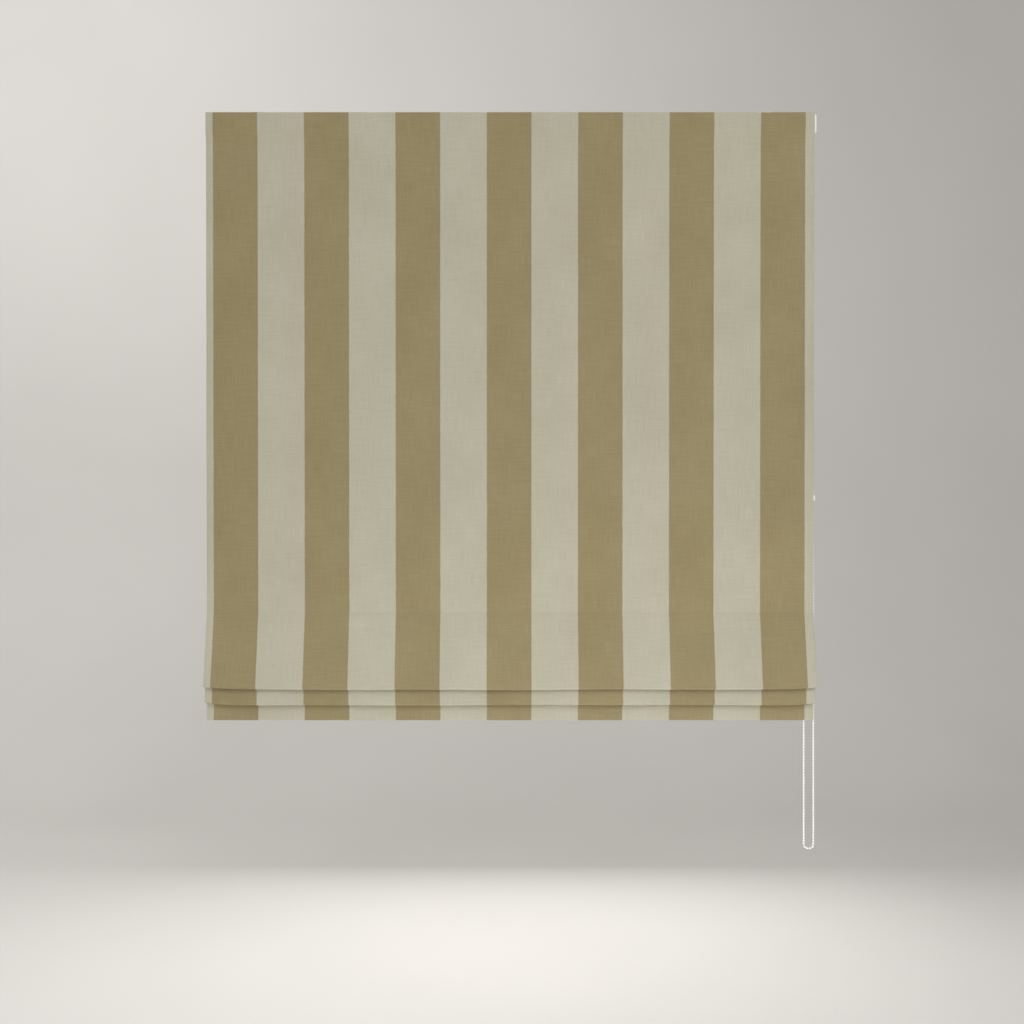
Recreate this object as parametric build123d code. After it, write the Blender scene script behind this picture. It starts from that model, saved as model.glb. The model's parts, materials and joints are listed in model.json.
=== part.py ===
from build123d import *
import math
import os

# Roman blind, made to fit under the top of a window recess.
# X runs along the rail, -Y faces the room, +Z is up.  Z = 0 is the face that the brackets are screwed to.
# It stands partly raised: four battens hang flat and the lowest two are drawn up into hanging folds.

# ---------------------------------------------------------------- driving dimensions, millimetres
BLIND_WIDTH = 1200.0          # finished width of the cloth
TOP_SECTION = 182.0           # top edge of the cloth to the first batten
BATTEN_SPACING = 268.0        # cloth between two battens
STACK_STEP = 32.0             # height that one gathered batten takes in the stack
BOTTOM_PANEL = 150.0          # lowest batten to the bottom edge of the hem
FLAT_BATTENS = 4              # battens that hang at full spacing
FOLDED_BATTENS = 2            # battens gathered below them

FACE_THICKNESS = 0.8          # striped face cloth
LINING_THICKNESS = 0.5
CLOTH_GAP = 0.3               # air between neighbouring soft layers
CLOTH_TOP = -1.0
CLOTH_BELOW_RAIL = -16.5      # front of the cloth where it hangs free of the rail
CLOTH_AT_STACK = -9.5         # front of the cloth at the gathered battens
PLANE_TOP = -62.0             # the cloth is flat from here to the last flat batten
SIDE_HEM = 22.0               # face cloth turned back over the lining at each side
HEM_HEIGHT = 32.0             # depth of the pocket that holds the bottom bar
LINING_ABOVE_HEM = 4.0
FIRST_FOLD_REACH = 30.5       # how far the upper fold's edge stands in front of the cloth above it
FOLD_REACH_STEP = 13.0        # each fold below reaches this much less
KNEE_CLEARANCE = 0.794        # a lower fold leaves the fold above it by this much at its knee
FOLD_WIDTH = 7.0              # front to back across the bottom of a hanging fold
FOLD_RADIUS = 3.3
CREASE_WIDTH = 1.4            # at a gathered batten the cloth turns back on itself
CREASE_RADIUS = 0.5
CLOTH_LEAVES_RAIL = 2.0       # the cloth bends back this far below the rail
RAIL_BEND_RADIUS = 20.0
PLANE_BEND_RADIUS = 40.0
STACK_BEND_RADIUS = 12.0
KNEE_BELOW_BATTEN = 28.8      # the knee stands this far below the batten above the fold
HEM_INNER_RADIUS = 0.6

RAIL_DEPTH = 34.0
RAIL_HEIGHT = 24.0
RAIL_WALL = 1.5
RAIL_SHORT_LEFT = 2.0         # rail and its cap end this far inside the cloth
RAIL_SHORT_RIGHT = 32.0       # the drive unit fills this end
LIP_WIDTH = 3.0
LIP_THICKNESS = 1.3
GROOVE_DEPTH = 2.2            # long grooves that the brackets grip
GROOVE_HEIGHT = 2.6
GROOVE_BELOW_TOP = 2.4
RAIL_TOP_THICKNESS = 1.5

PLUG_EASE = 0.15              # end cap and drive unit push into the rail with this much room
PLUG_WALL = 1.6
END_CAP_THICKNESS = 2.0
END_CAP_PLUG = 12.0

BRACKET_THICKNESS = 2.0
BRACKET_WIDTH = 30.0
BRACKET_COUNT = 3
BRACKET_END_MARGIN = 100.0    # outer brackets from the cloth's sides
BRACKET_HOOK_EASE = 0.1       # air between the bracket's front hook and the rail
BRACKET_HOOK_THICKNESS = 1.5
BRACKET_LIP_THICKNESS = 1.6
BRACKET_BEHIND_PIVOT = 4.0
SCREW_HOLE_RADIUS = 2.25
COUNTERSINK_RADIUS = 4.2
COUNTERSINK_DEPTH = 1.6
LEVER_PIVOT_BEHIND_RAIL = 4.0
LEVER_SHORT_OF_GROOVE = 0.5   # the lever's nose stops this far from the groove's floor
LEVER_BELOW_GROOVE_TOP = 0.3
LEVER_SLACK = 0.8             # the lever is this much thinner than the groove is high
LEVER_HUB_RADIUS = 3.4
LEVER_HANDLE = 19.0
LEVER_HANDLE_WIDTH = 4.8
RIVET_RADIUS = 1.5
RIVET_HEAD_RADIUS = 2.8
RIVET_HEAD_HEIGHT = 1.0

TAPE_THICKNESS = 1.0          # hook tape on the rail, loop tape on the cloth
TAPE_BELOW_RAIL_TOP = 6.2

SHAFT_SIZE = 4.0              # square drive shaft
SHAFT_Y = 4.0
SHAFT_CLEARANCE = 0.1
SHAFT_PAST_DRUM = 60.0
SHAFT_PAST_WHEEL = 6.0
RUNNING_CLEARANCE = 0.05
CORD_RADIUS = 0.6
CORD_COUNT = 4
CORD_BEND_RADIUS = 80.0
CORD_END_MARGIN = 150.0       # outer cords from the cloth's sides
JOURNAL_WALL = 0.9            # plastic round the shaft's corners where a drum turns in its cradle
DRUM_WALL = 1.6
DRUM_FLANGE_HEIGHT = 3.0
DRUM_FLANGE_THICKNESS = 1.2
DRUM_LENGTH = 23.0
DRUM_END_PLAY = 0.5
DRUM_ABOVE_FLOOR = 1.15
CRADLE_WALL = 2.0
CRADLE_FLOOR = 1.5
CRADLE_EASE = 0.2
CRADLE_SIDE_HEIGHT = 6.0
CRADLE_SIDE_THICKNESS = 1.2
CORD_SLOT_RADIUS = 1.6
WINDING_LENGTH = 18.0

BATTEN_RADIUS = 2.0
BATTEN_END_MARGIN = 32.0      # battens stop short of the cloth's sides, clear of the chain
POCKET_EASE = 0.3
POCKET_TAPE = 0.5             # thickness of the tape that makes the pocket
POCKET_SHORT = 4.0            # pocket ends this far inside the batten's ends
POCKET_FLAP = 8.0             # flap below the pocket that is sewn to the lining
POCKET_FLAP_THICKNESS = 0.6
CAP_WALL = 0.7
CAP_LENGTH = 5.5
CAP_END = 2.0                 # closed end beyond the batten
GUIDE_LENGTH = 8.0
GUIDE_HEIGHT = 6.0
GUIDE_EASE = 0.15
GUIDE_WALL = 1.0
GUIDE_OPENING = 1.4           # the clip is cut open this far in front of the batten's middle
EYE_EASE = 0.35
EYE_WALL = 1.15
TOGGLE_RADIUS = 3.0
TOGGLE_LENGTH = 9.0
TOGGLE_GAP = 0.4
BAR_THICKNESS = 3.0
BAR_SHORT_OF_HEM = 7.0        # the hem is this much deeper than the bar
BAR_ABOVE_HEM_FOLD = 1.2
BAR_END_MARGIN = 8.0
BAR_CAP_LENGTH = 3.0

BEAD_RADIUS = 2.25
BEAD_PITCH = 6.0
SPROCKET_POCKETS = 10
SPROCKET_EDGE = 1.2           # the wheel's rim beyond the beads' middles
SPROCKET_HALF = 3.8
POCKET_ROOM = 0.15            # room round a bead in its pocket
THREAD_SLOT_HALF = 0.9
CHAIN_DROP = 1459.0           # lowest point of the chain loop below the fixing face
CHAIN_SETTLED = 700.0         # below this the loop hangs flat, parallel to the cloth
CHAIN_STRAIGHT = 20.0         # straight stretch below the drive unit
CHAIN_TURN_RADIUS = 400.0
CHAIN_START = 9.5             # the free chain starts this far below the wheel's middle
CONNECTOR_RADIUS = 3.2
CONNECTOR_LENGTH = 11.0
CONNECTOR_BELOW_TURN = 60.0
CHAIN_THREAD_RADIUS = 0.6
CHAIN_ROOM = 0.8              # air round the chain in the drive unit
CHAIN_FROM_RAIL = 25.5
HOUSING_OVERHANG = 6.0        # the drive unit reaches this far past the cloth
HOUSING_WALL = 1.5
HOUSING_NECK = 9.9            # housing below the wheel's room, which guides the chain
HOUSING_CORNER = 4.0
HOUSING_BELOW_FACE = 0.401566   # air between the drive unit and the face above it
HOUSING_PLUG = 20.0
SLEEVE_WALL = 1.0             # the wheel's sleeve round the shaft's corners
CORE_WALL = 1.55              # fixed core that the brake spring grips
CORE_LENGTH = 11.0
BRAKE_ROOM = 2.9              # room round the core for the spring
SPRING_WIRE = 0.4
SPRING_EASE = 0.15
SPRING_TURNS = 9
SCREW_RADIUS = 1.1
SCREW_LENGTH = 9.0
SCREW_HEAD_RADIUS = 2.1
SCREW_HEAD_HEIGHT = 1.1
SCREW_FROM_EDGE = 2.8
SCREW_SLOT_HALF = 0.25

# ---------------------------------------------------------------- places worked out from the sizes
HALF_WIDTH = BLIND_WIDTH / 2
RAIL_TOP = -BRACKET_THICKNESS
RAIL_BOTTOM = RAIL_TOP - RAIL_HEIGHT
RAIL_HALF = RAIL_DEPTH / 2
RAIL_LEFT = -HALF_WIDTH + RAIL_SHORT_LEFT
RAIL_RIGHT = HALF_WIDTH - RAIL_SHORT_RIGHT
CAVITY_HALF = RAIL_HALF - RAIL_WALL
SHOULDER_Z = RAIL_TOP - GROOVE_BELOW_TOP - GROOVE_HEIGHT - RAIL_WALL
LIP_TOP = RAIL_BOTTOM + LIP_THICKNESS

CLOTH_THICKNESS = FACE_THICKNESS + CLOTH_GAP + LINING_THICKNESS
HEM_POCKET = BAR_THICKNESS + 2 * (CLOTH_GAP + FACE_THICKNESS)
CLOTH_AT_RAIL = -RAIL_HALF - 2 * TAPE_THICKNESS - CLOTH_GAP - CLOTH_THICKNESS

SHAFT_CORNER = (SHAFT_SIZE + SHAFT_CLEARANCE) * math.sqrt(2) / 2
JOURNAL_RADIUS = SHAFT_CORNER + JOURNAL_WALL
DRUM_RADIUS = SHAFT_CORNER + DRUM_WALL
DRUM_FLANGE_RADIUS = DRUM_RADIUS + DRUM_FLANGE_HEIGHT
CRADLE_BOTTOM = LIP_TOP + RUNNING_CLEARANCE
LEVER_Y = RAIL_HALF + LEVER_PIVOT_BEHIND_RAIL
LEVER_REACH = LEVER_PIVOT_BEHIND_RAIL + GROOVE_DEPTH - LEVER_SHORT_OF_GROOVE
LEVER_TOP = RAIL_TOP - GROOVE_BELOW_TOP - LEVER_BELOW_GROOVE_TOP
LEVER_BOTTOM = LEVER_TOP - GROOVE_HEIGHT + LEVER_SLACK

PITCH_RADIUS = BEAD_PITCH * SPROCKET_POCKETS / (2 * math.pi)
WHEEL_ROOM = PITCH_RADIUS + BEAD_RADIUS + CHAIN_ROOM
HOUSING_HALF = WHEEL_ROOM + HOUSING_WALL
SHAFT_Z = CRADLE_BOTTOM + CRADLE_FLOOR + DRUM_ABOVE_FLOOR + DRUM_FLANGE_RADIUS
CORD_START_Y = SHAFT_Y - DRUM_RADIUS - CORD_RADIUS
CORD_START_Z = SHAFT_Z - DRUM_RADIUS
HOUSING_LEFT = RAIL_RIGHT
HOUSING_RIGHT = HALF_WIDTH + HOUSING_OVERHANG
HOUSING_BOTTOM = SHAFT_Z - WHEEL_ROOM - HOUSING_NECK
COVER_X = HOUSING_RIGHT - HOUSING_WALL
CHAIN_X = HOUSING_LEFT + CHAIN_FROM_RAIL
SLEEVE_RADIUS = SHAFT_CORNER + SLEEVE_WALL
CORE_RADIUS = SLEEVE_RADIUS + RUNNING_CLEARANCE + CORE_WALL

POCKET_INNER_RADIUS = BATTEN_RADIUS + POCKET_EASE
POCKET_OUTER_RADIUS = POCKET_INNER_RADIUS + POCKET_TAPE
CAP_RADIUS = BATTEN_RADIUS + CAP_WALL
EYE_HOLE_RADIUS = CORD_RADIUS + EYE_EASE
EYE_RADIUS = EYE_HOLE_RADIUS + EYE_WALL
BATTEN_COUNT = FLAT_BATTENS + FOLDED_BATTENS
BATTEN_END = HALF_WIDTH - BATTEN_END_MARGIN
BAR_END = HALF_WIDTH - BAR_END_MARGIN
LAST_FLAT_Z = -TOP_SECTION - (FLAT_BATTENS - 1) * BATTEN_SPACING
HEM_BOTTOM = LAST_FLAT_Z - FOLDED_BATTENS * STACK_STEP - BOTTOM_PANEL
BATTEN_BEHIND_FRONT = CLOTH_THICKNESS + CLOTH_GAP + POCKET_OUTER_RADIUS
EYE_BEHIND_BATTEN = POCKET_OUTER_RADIUS + CLOTH_GAP + EYE_RADIUS
CORD_END_Z = LAST_FLAT_Z - FOLDED_BATTENS * STACK_STEP - GUIDE_HEIGHT / 2 - TOGGLE_GAP


def batten_z(index):
    """Height of batten 0..BATTEN_COUNT-1, counted from the top."""
    if index < FLAT_BATTENS:
        return -TOP_SECTION - index * BATTEN_SPACING
    return LAST_FLAT_Z - (index - FLAT_BATTENS + 1) * STACK_STEP


def cloth_front(z):
    """Y of the cloth's front where it hangs flat: it leans back slightly towards the stack."""
    share = min(1.0, (PLANE_TOP - z) / (PLANE_TOP - LAST_FLAT_Z))
    return CLOTH_BELOW_RAIL + share * (CLOTH_AT_STACK - CLOTH_BELOW_RAIL)


def batten_y(index):
    """Middle of a batten: its pocket lies behind the lining."""
    return cloth_front(batten_z(index)) + BATTEN_BEHIND_FRONT


def spread_places(count, margin):
    """X of pieces spread evenly along the blind, the outer two this far from the cloth's sides."""
    outer = HALF_WIDTH - margin
    return [-outer + 2 * outer * index / (count - 1) for index in range(count)]


CORD_PLACES = spread_places(CORD_COUNT, CORD_END_MARGIN)
BRACKET_PLACES = spread_places(BRACKET_COUNT, BRACKET_END_MARGIN)


# ---------------------------------------------------------------- helpers
def block(x0, x1, y0, y1, z0, z1):
    """Box between two corners."""
    centre = ((x0 + x1) / 2, (y0 + y1) / 2, (z0 + z1) / 2)
    return Pos(*centre) * Box(abs(x1 - x0), abs(y1 - y0), abs(z1 - z0))


def bar_x(radius, x0, x1, y, z):
    """Round bar along X."""
    return Pos((x0 + x1) / 2, y, z) * Rot(0, 90, 0) * Cylinder(radius, abs(x1 - x0))


def bar_z(radius, x, y, z0, z1):
    """Round bar along Z."""
    return Pos(x, y, (z0 + z1) / 2) * Cylinder(radius, abs(z1 - z0))


def square_x(size, x0, x1):
    """Square bar along the shaft's axis."""
    half = size / 2
    return block(x0, x1, SHAFT_Y - half, SHAFT_Y + half, SHAFT_Z - half, SHAFT_Z + half)


def extrude_yz(outline, x0, x1):
    """Closed outline of (y, z) points, carried along X from x0 to x1."""
    wire = Polyline(*[(x0, y, z) for y, z in outline], close=True)
    return extrude(make_face(wire), amount=x1 - x0, dir=(1, 0, 0))


def save(name, shape):
    export_step(shape, f"parts/{name}.step")


# ---------------------------------------------------------------- cloth
def fold_knee(reach, drop):
    """How far a lower fold stands out at its knee, just behind the back of the fold above it."""
    back_run = reach + FOLD_REACH_STEP - FOLD_WIDTH - CREASE_WIDTH
    return CREASE_WIDTH + back_run * KNEE_BELOW_BATTEN / (drop - STACK_STEP) - KNEE_CLEARANCE


def fold_route():
    """Outer surface of the face cloth from its top edge to the turned-up hem: (y, z, bend radius)."""
    route = [
        (CLOTH_AT_RAIL, CLOTH_TOP, 0),
        (CLOTH_AT_RAIL, RAIL_BOTTOM - CLOTH_LEAVES_RAIL, RAIL_BEND_RADIUS),
        (CLOTH_BELOW_RAIL, PLANE_TOP, PLANE_BEND_RADIUS),
        (CLOTH_AT_STACK, LAST_FLAT_Z, STACK_BEND_RADIUS),
    ]
    drop = (BATTEN_SPACING + STACK_STEP) / 2
    for index in range(FOLDED_BATTENS):
        above = LAST_FLAT_Z - index * STACK_STEP
        below = above - STACK_STEP
        reach = FIRST_FOLD_REACH - index * FOLD_REACH_STEP
        if index > 0:
            route.append((CLOTH_AT_STACK - fold_knee(reach, drop), above - KNEE_BELOW_BATTEN, STACK_BEND_RADIUS))
        bottom = above - drop
        front = CLOTH_AT_STACK - reach
        route += [
            (front, bottom, FOLD_RADIUS),
            (front + FOLD_WIDTH, bottom, FOLD_RADIUS),
            (CLOTH_AT_STACK - CREASE_WIDTH, below, CREASE_RADIUS),
            (CLOTH_AT_STACK, below, CREASE_RADIUS),
        ]
    hem_back = CLOTH_AT_STACK + HEM_POCKET
    hem_radius = FACE_THICKNESS + HEM_INNER_RADIUS
    route += [
        (CLOTH_AT_STACK, HEM_BOTTOM, hem_radius),
        (hem_back, HEM_BOTTOM, hem_radius),
        (hem_back, HEM_BOTTOM + HEM_HEIGHT, 0),
    ]
    return route


def shifted(route, distance):
    """The route moved sideways by distance, towards the lining."""
    moved = []
    for index, (y, z, radius) in enumerate(route):
        sides = []
        if index > 0:
            sides.append(unit(route[index - 1], route[index]))
        if index < len(route) - 1:
            sides.append(unit(route[index], route[index + 1]))
        normals = [(-dz, dy) for dy, dz in sides]
        ny = sum(n[0] for n in normals) / len(normals)
        nz = sum(n[1] for n in normals) / len(normals)
        length = ny * ny + nz * nz
        turn = 0.0
        if len(sides) == 2:
            turn = sides[0][0] * sides[1][1] - sides[0][1] * sides[1][0]
        new_radius = radius - distance if turn > 0 else radius + distance
        moved.append((y + distance * ny / length, z + distance * nz / length, new_radius))
    return moved


def unit(start, end):
    """Direction from one (y, z) point of a route to the next."""
    dy = end[0] - start[0]
    dz = end[1] - start[1]
    length = math.hypot(dy, dz)
    return dy / length, dz / length


def rounded(route, x):
    """The route as lines and tangent arcs in the plane at x."""
    points = [(x, y, z) for y, z, radius in route]
    return FilletPolyline(*points, radius=[radius for y, z, radius in route[1:-1]])


def cloth_band(route, thickness, x0, x1):
    """A layer of cloth whose outer surface follows the route."""
    outer = rounded(route, x0)
    inner = rounded(shifted(route, thickness), x0)
    ends = [Line(outer @ 0, inner @ 0), Line(outer @ 1, inner @ 1)]
    outline = Wire(outer.edges() + inner.edges() + ends)
    return extrude(make_face(outline), amount=x1 - x0, dir=(1, 0, 0))


def face_cloth():
    return cloth_band(fold_route(), FACE_THICKNESS, -HALF_WIDTH, HALF_WIDTH)


def lining():
    route = shifted(fold_route(), FACE_THICKNESS + CLOTH_GAP)[:-3]
    route.append((route[-1][0], HEM_BOTTOM + HEM_HEIGHT + LINING_ABOVE_HEM, 0))
    side = HALF_WIDTH - SIDE_HEM
    return cloth_band(route, LINING_THICKNESS, -side, side)


def loop_tape():
    back = -RAIL_HALF - TAPE_THICKNESS
    top = RAIL_TOP - TAPE_BELOW_RAIL_TOP
    return block(RAIL_LEFT, RAIL_RIGHT, back - TAPE_THICKNESS, back, RAIL_BOTTOM, top)


def hook_tape():
    top = RAIL_TOP - TAPE_BELOW_RAIL_TOP
    return block(RAIL_LEFT, RAIL_RIGHT, -RAIL_HALF - TAPE_THICKNESS, -RAIL_HALF, RAIL_BOTTOM, top)


# ---------------------------------------------------------------- rail and what holds it
def rail_outline():
    """Half outline of the extruded rail, from the open bottom round to the middle of its top."""
    groove_top = RAIL_TOP - GROOVE_BELOW_TOP
    groove_bottom = groove_top - GROOVE_HEIGHT
    neck = RAIL_HALF - GROOVE_DEPTH
    return [
        (CAVITY_HALF - LIP_WIDTH, RAIL_BOTTOM), (RAIL_HALF, RAIL_BOTTOM), (RAIL_HALF, groove_bottom),
        (neck, groove_bottom), (neck, groove_top), (RAIL_HALF, groove_top), (RAIL_HALF, RAIL_TOP),
    ]


def rail_cavity():
    """Half outline of the rail's inside, in the same order."""
    neck = RAIL_HALF - GROOVE_DEPTH - RAIL_WALL
    return [
        (CAVITY_HALF - LIP_WIDTH, LIP_TOP), (CAVITY_HALF, LIP_TOP), (CAVITY_HALF, SHOULDER_Z),
        (neck, SHOULDER_Z), (neck, RAIL_TOP - RAIL_TOP_THICKNESS),
    ]


def mirrored(points):
    return [(-y, z) for y, z in points]


def headrail():
    right = rail_outline()
    inside = rail_cavity()
    outline = mirrored(right) + right[::-1] + inside + mirrored(inside)[::-1]
    return extrude_yz(outline, RAIL_LEFT, RAIL_RIGHT)


def cavity_plug(x0, x1):
    """Hollow spigot that fills the rail's cavity above the lips."""
    low = LIP_TOP + PLUG_EASE
    side = CAVITY_HALF - PLUG_EASE
    high = SHOULDER_Z - PLUG_EASE
    outer = block(x0, x1, -side, side, low, high)
    return outer - block(x0 - 1, x1 + 1, -side + PLUG_WALL, side - PLUG_WALL, low + PLUG_WALL, high + 1)


def end_cap():
    plate = block(RAIL_LEFT - END_CAP_THICKNESS, RAIL_LEFT, -RAIL_HALF, RAIL_HALF, RAIL_BOTTOM, RAIL_TOP)
    plate = fillet(plate.edges().filter_by(Axis.X), 1.2)
    return plate + cavity_plug(RAIL_LEFT, RAIL_LEFT + END_CAP_PLUG)


def bracket(x):
    """Pressed plate with a hook for the rail's front groove and a boss for the lever."""
    half = BRACKET_WIDTH / 2
    hook_half = half - 2
    hook_back = -RAIL_HALF - BRACKET_HOOK_EASE
    hook_front = hook_back - BRACKET_HOOK_THICKNESS
    lip_low = RAIL_TOP - GROOVE_BELOW_TOP - GROOVE_HEIGHT + 0.4
    lip_end = hook_back + GROOVE_DEPTH - 2 * BRACKET_HOOK_EASE
    plate = block(x - half, x + half, hook_front, LEVER_Y + BRACKET_BEHIND_PIVOT, RAIL_TOP, 0)
    plate = fillet(plate.edges().filter_by(Axis.Z), 1.4)
    plate += block(x - hook_half, x + hook_half, hook_front, hook_back, lip_low, RAIL_TOP + 0.5)
    plate += block(x - hook_half, x + hook_half, hook_front, lip_end, lip_low, lip_low + BRACKET_LIP_THICKNESS)
    plate += bar_z(LEVER_HUB_RADIUS - 0.2, x, LEVER_Y, LEVER_TOP, RAIL_TOP + 0.5)
    plate -= bar_z(RIVET_RADIUS, x, LEVER_Y, LEVER_TOP - 1, 1)
    sink = Cone(COUNTERSINK_RADIUS, SCREW_HOLE_RADIUS, COUNTERSINK_DEPTH)
    plate -= Pos(x, 0, RAIL_TOP + COUNTERSINK_DEPTH / 2) * sink
    return plate - bar_z(SCREW_HOLE_RADIUS, x, 0, RAIL_TOP - 1, 1)


def lever(x):
    """Turning cam under the bracket: its nose locks in the rail's rear groove."""
    disc = bar_z(LEVER_HUB_RADIUS, x, LEVER_Y, LEVER_BOTTOM, LEVER_TOP)
    cam = bar_z(LEVER_REACH, x, LEVER_Y, LEVER_BOTTOM, LEVER_TOP)
    wide = LEVER_REACH + 3
    wedge = Polyline((x, LEVER_Y, LEVER_BOTTOM), (x - wide, LEVER_Y - wide, LEVER_BOTTOM),
                     (x + wide, LEVER_Y - wide, LEVER_BOTTOM), close=True)
    cam &= extrude(make_face(wedge), amount=LEVER_TOP - LEVER_BOTTOM, dir=(0, 0, 1))
    half = LEVER_HANDLE_WIDTH / 2
    handle = block(x, x + LEVER_HANDLE, LEVER_Y - half, LEVER_Y + half, LEVER_BOTTOM, LEVER_TOP)
    handle = fillet(handle.edges().filter_by(Axis.Z).sort_by(Axis.X)[-2:], 0.8 * half)
    tab_x = x + LEVER_HANDLE - 6
    tab = block(tab_x, tab_x + 3, LEVER_Y - half, LEVER_Y + half, LEVER_BOTTOM - 1.4, LEVER_BOTTOM + 0.2)
    body = disc + cam + handle + tab
    return body - bar_z(RIVET_RADIUS + RUNNING_CLEARANCE, x, LEVER_Y, LEVER_BOTTOM - 1, LEVER_TOP + 1)


def rivet(x):
    bottom = LEVER_BOTTOM - 2 * RUNNING_CLEARANCE
    head = bar_z(RIVET_HEAD_RADIUS, x, LEVER_Y, bottom - RIVET_HEAD_HEIGHT, bottom)
    head = fillet(head.edges().filter_by(GeomType.CIRCLE).sort_by(Axis.Z)[0], RIVET_HEAD_HEIGHT / 2)
    return bar_z(RIVET_RADIUS, x, LEVER_Y, bottom, 0) + head


# ---------------------------------------------------------------- drums, cradles and shaft
def cord_drum(x):
    half = DRUM_LENGTH / 2
    journal_end = half + CRADLE_WALL + DRUM_END_PLAY
    drum = bar_x(JOURNAL_RADIUS, x - journal_end, x + journal_end, SHAFT_Y, SHAFT_Z)
    drum += bar_x(DRUM_RADIUS, x - half, x + half, SHAFT_Y, SHAFT_Z)
    for side in (-1, 1):
        edge = x + side * half
        drum += bar_x(DRUM_FLANGE_RADIUS, edge - side * DRUM_FLANGE_THICKNESS, edge, SHAFT_Y, SHAFT_Z)
    return drum - square_x(SHAFT_SIZE + SHAFT_CLEARANCE, x - journal_end - 1, x + journal_end + 1)


def winding(x):
    """Turns of lift cord already on one drum."""
    half = WINDING_LENGTH / 2
    ring = bar_x(DRUM_RADIUS + 2 * CORD_RADIUS, x - half, x + half, SHAFT_Y, SHAFT_Z)
    return ring - bar_x(DRUM_RADIUS, x - half - 1, x + half + 1, SHAFT_Y, SHAFT_Z)


def cradle(x):
    """Open frame that carries one drum at its two journals and lets the cord out through its floor."""
    inner = DRUM_LENGTH / 2 + DRUM_END_PLAY
    outer = inner + CRADLE_WALL
    side = CAVITY_HALF - CRADLE_EASE
    floor_top = CRADLE_BOTTOM + CRADLE_FLOOR
    body = block(x - outer, x + outer, -side, side, CRADLE_BOTTOM, floor_top)
    for direction in (-1, 1):
        near, far = x + direction * inner, x + direction * outer
        body += block(near, far, -side, side, CRADLE_BOTTOM, SHOULDER_Z - CRADLE_EASE)
        wall = direction * (side - CRADLE_SIDE_THICKNESS)
        body += block(x - outer, x + outer, wall, direction * side, CRADLE_BOTTOM,
                      CRADLE_BOTTOM + CRADLE_SIDE_HEIGHT)
    body -= bar_x(JOURNAL_RADIUS + RUNNING_CLEARANCE, x - outer - 1, x + outer + 1, SHAFT_Y, SHAFT_Z)
    return body - bar_z(CORD_SLOT_RADIUS, x, CORD_START_Y, CRADLE_BOTTOM - 1, floor_top + 1)


def shaft():
    return square_x(SHAFT_SIZE, CORD_PLACES[0] - SHAFT_PAST_DRUM, CHAIN_X + SHAFT_PAST_WHEEL)


# ---------------------------------------------------------------- chain drive
def housing_blank(x0, x1):
    """Outer form of the drive unit between two stations along X."""
    top = -HOUSING_BELOW_FACE
    shell = block(x0, x1, SHAFT_Y - HOUSING_HALF, SHAFT_Y + HOUSING_HALF, HOUSING_BOTTOM, top)
    return fillet(shell.edges().filter_by(Axis.X), HOUSING_CORNER)


def chain_strands_y():
    """Y of the front and the rear strand where they leave the wheel."""
    return (SHAFT_Y - PITCH_RADIUS, SHAFT_Y + PITCH_RADIUS)


def drive_housing():
    """Moulded box that plugs into the rail: room for the wheel, and a fixed core for the brake spring."""
    room_x = CHAIN_X - SPROCKET_HALF - CHAIN_ROOM
    core_x = HOUSING_LEFT + 1
    core_end = core_x + CORE_LENGTH
    plug_x = HOUSING_LEFT - HOUSING_PLUG
    body = housing_blank(HOUSING_LEFT, COVER_X)
    body -= bar_x(WHEEL_ROOM, room_x, COVER_X + 1, SHAFT_Y, SHAFT_Z)
    body -= bar_x(CORE_RADIUS + BRAKE_ROOM, core_x + 1, room_x + 1, SHAFT_Y, SHAFT_Z)
    body += bar_x(CORE_RADIUS, core_x, core_end, SHAFT_Y, SHAFT_Z)
    body += cavity_plug(plug_x, HOUSING_LEFT)
    body -= bar_x(SLEEVE_RADIUS + RUNNING_CLEARANCE, plug_x - 1, core_end + 1, SHAFT_Y, SHAFT_Z)
    for y in chain_strands_y():
        body -= bar_z(BEAD_RADIUS + CHAIN_ROOM, CHAIN_X, y, HOUSING_BOTTOM - 1, SHAFT_Z)
    for y, z in cover_screw_places():
        body -= bar_x(SCREW_RADIUS, HOUSING_RIGHT - SCREW_LENGTH, HOUSING_RIGHT, y, z)
    return body


def drive_cover():
    """End cover, with a boss that carries the wheel's outer sleeve."""
    plate = housing_blank(COVER_X, HOUSING_RIGHT)
    plate = fillet(plate.faces().sort_by(Axis.X)[-1].edges(), 0.6)
    boss_start = CHAIN_X + SPROCKET_HALF + CHAIN_ROOM
    plate += bar_x(CORE_RADIUS, boss_start, COVER_X, SHAFT_Y, SHAFT_Z)
    bore = bar_x(SLEEVE_RADIUS + RUNNING_CLEARANCE, boss_start - 1, COVER_X - 2, SHAFT_Y, SHAFT_Z)
    for y, z in cover_screw_places():
        plate -= bar_x(SCREW_RADIUS, COVER_X - 1, HOUSING_RIGHT + 1, y, z) + screw_head(y, z)
    return plate - bore


def cover_screw_places():
    """(y, z) of the screws: one between the chain holes and one in each upper corner."""
    corner = HOUSING_HALF - SCREW_FROM_EDGE
    return (
        (SHAFT_Y, HOUSING_BOTTOM + HOUSING_NECK / 2),
        (SHAFT_Y - corner, SHAFT_Z + corner),
        (SHAFT_Y + corner, SHAFT_Z + corner),
    )


def cover_screws():
    """Countersunk screws, flush with the cover."""
    screws = []
    for y, z in cover_screw_places():
        shank = bar_x(SCREW_RADIUS, HOUSING_RIGHT - SCREW_LENGTH, HOUSING_RIGHT, y, z)
        screws.append(shank + screw_head(y, z) - cross_slot(y, z))
    return Compound(screws)


def screw_head(y, z):
    half = SCREW_HEAD_HEIGHT / 2
    cone = Cone(SCREW_RADIUS, SCREW_HEAD_RADIUS, SCREW_HEAD_HEIGHT)
    return Pos(HOUSING_RIGHT - half, y, z) * Rot(0, 90, 0) * cone


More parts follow.
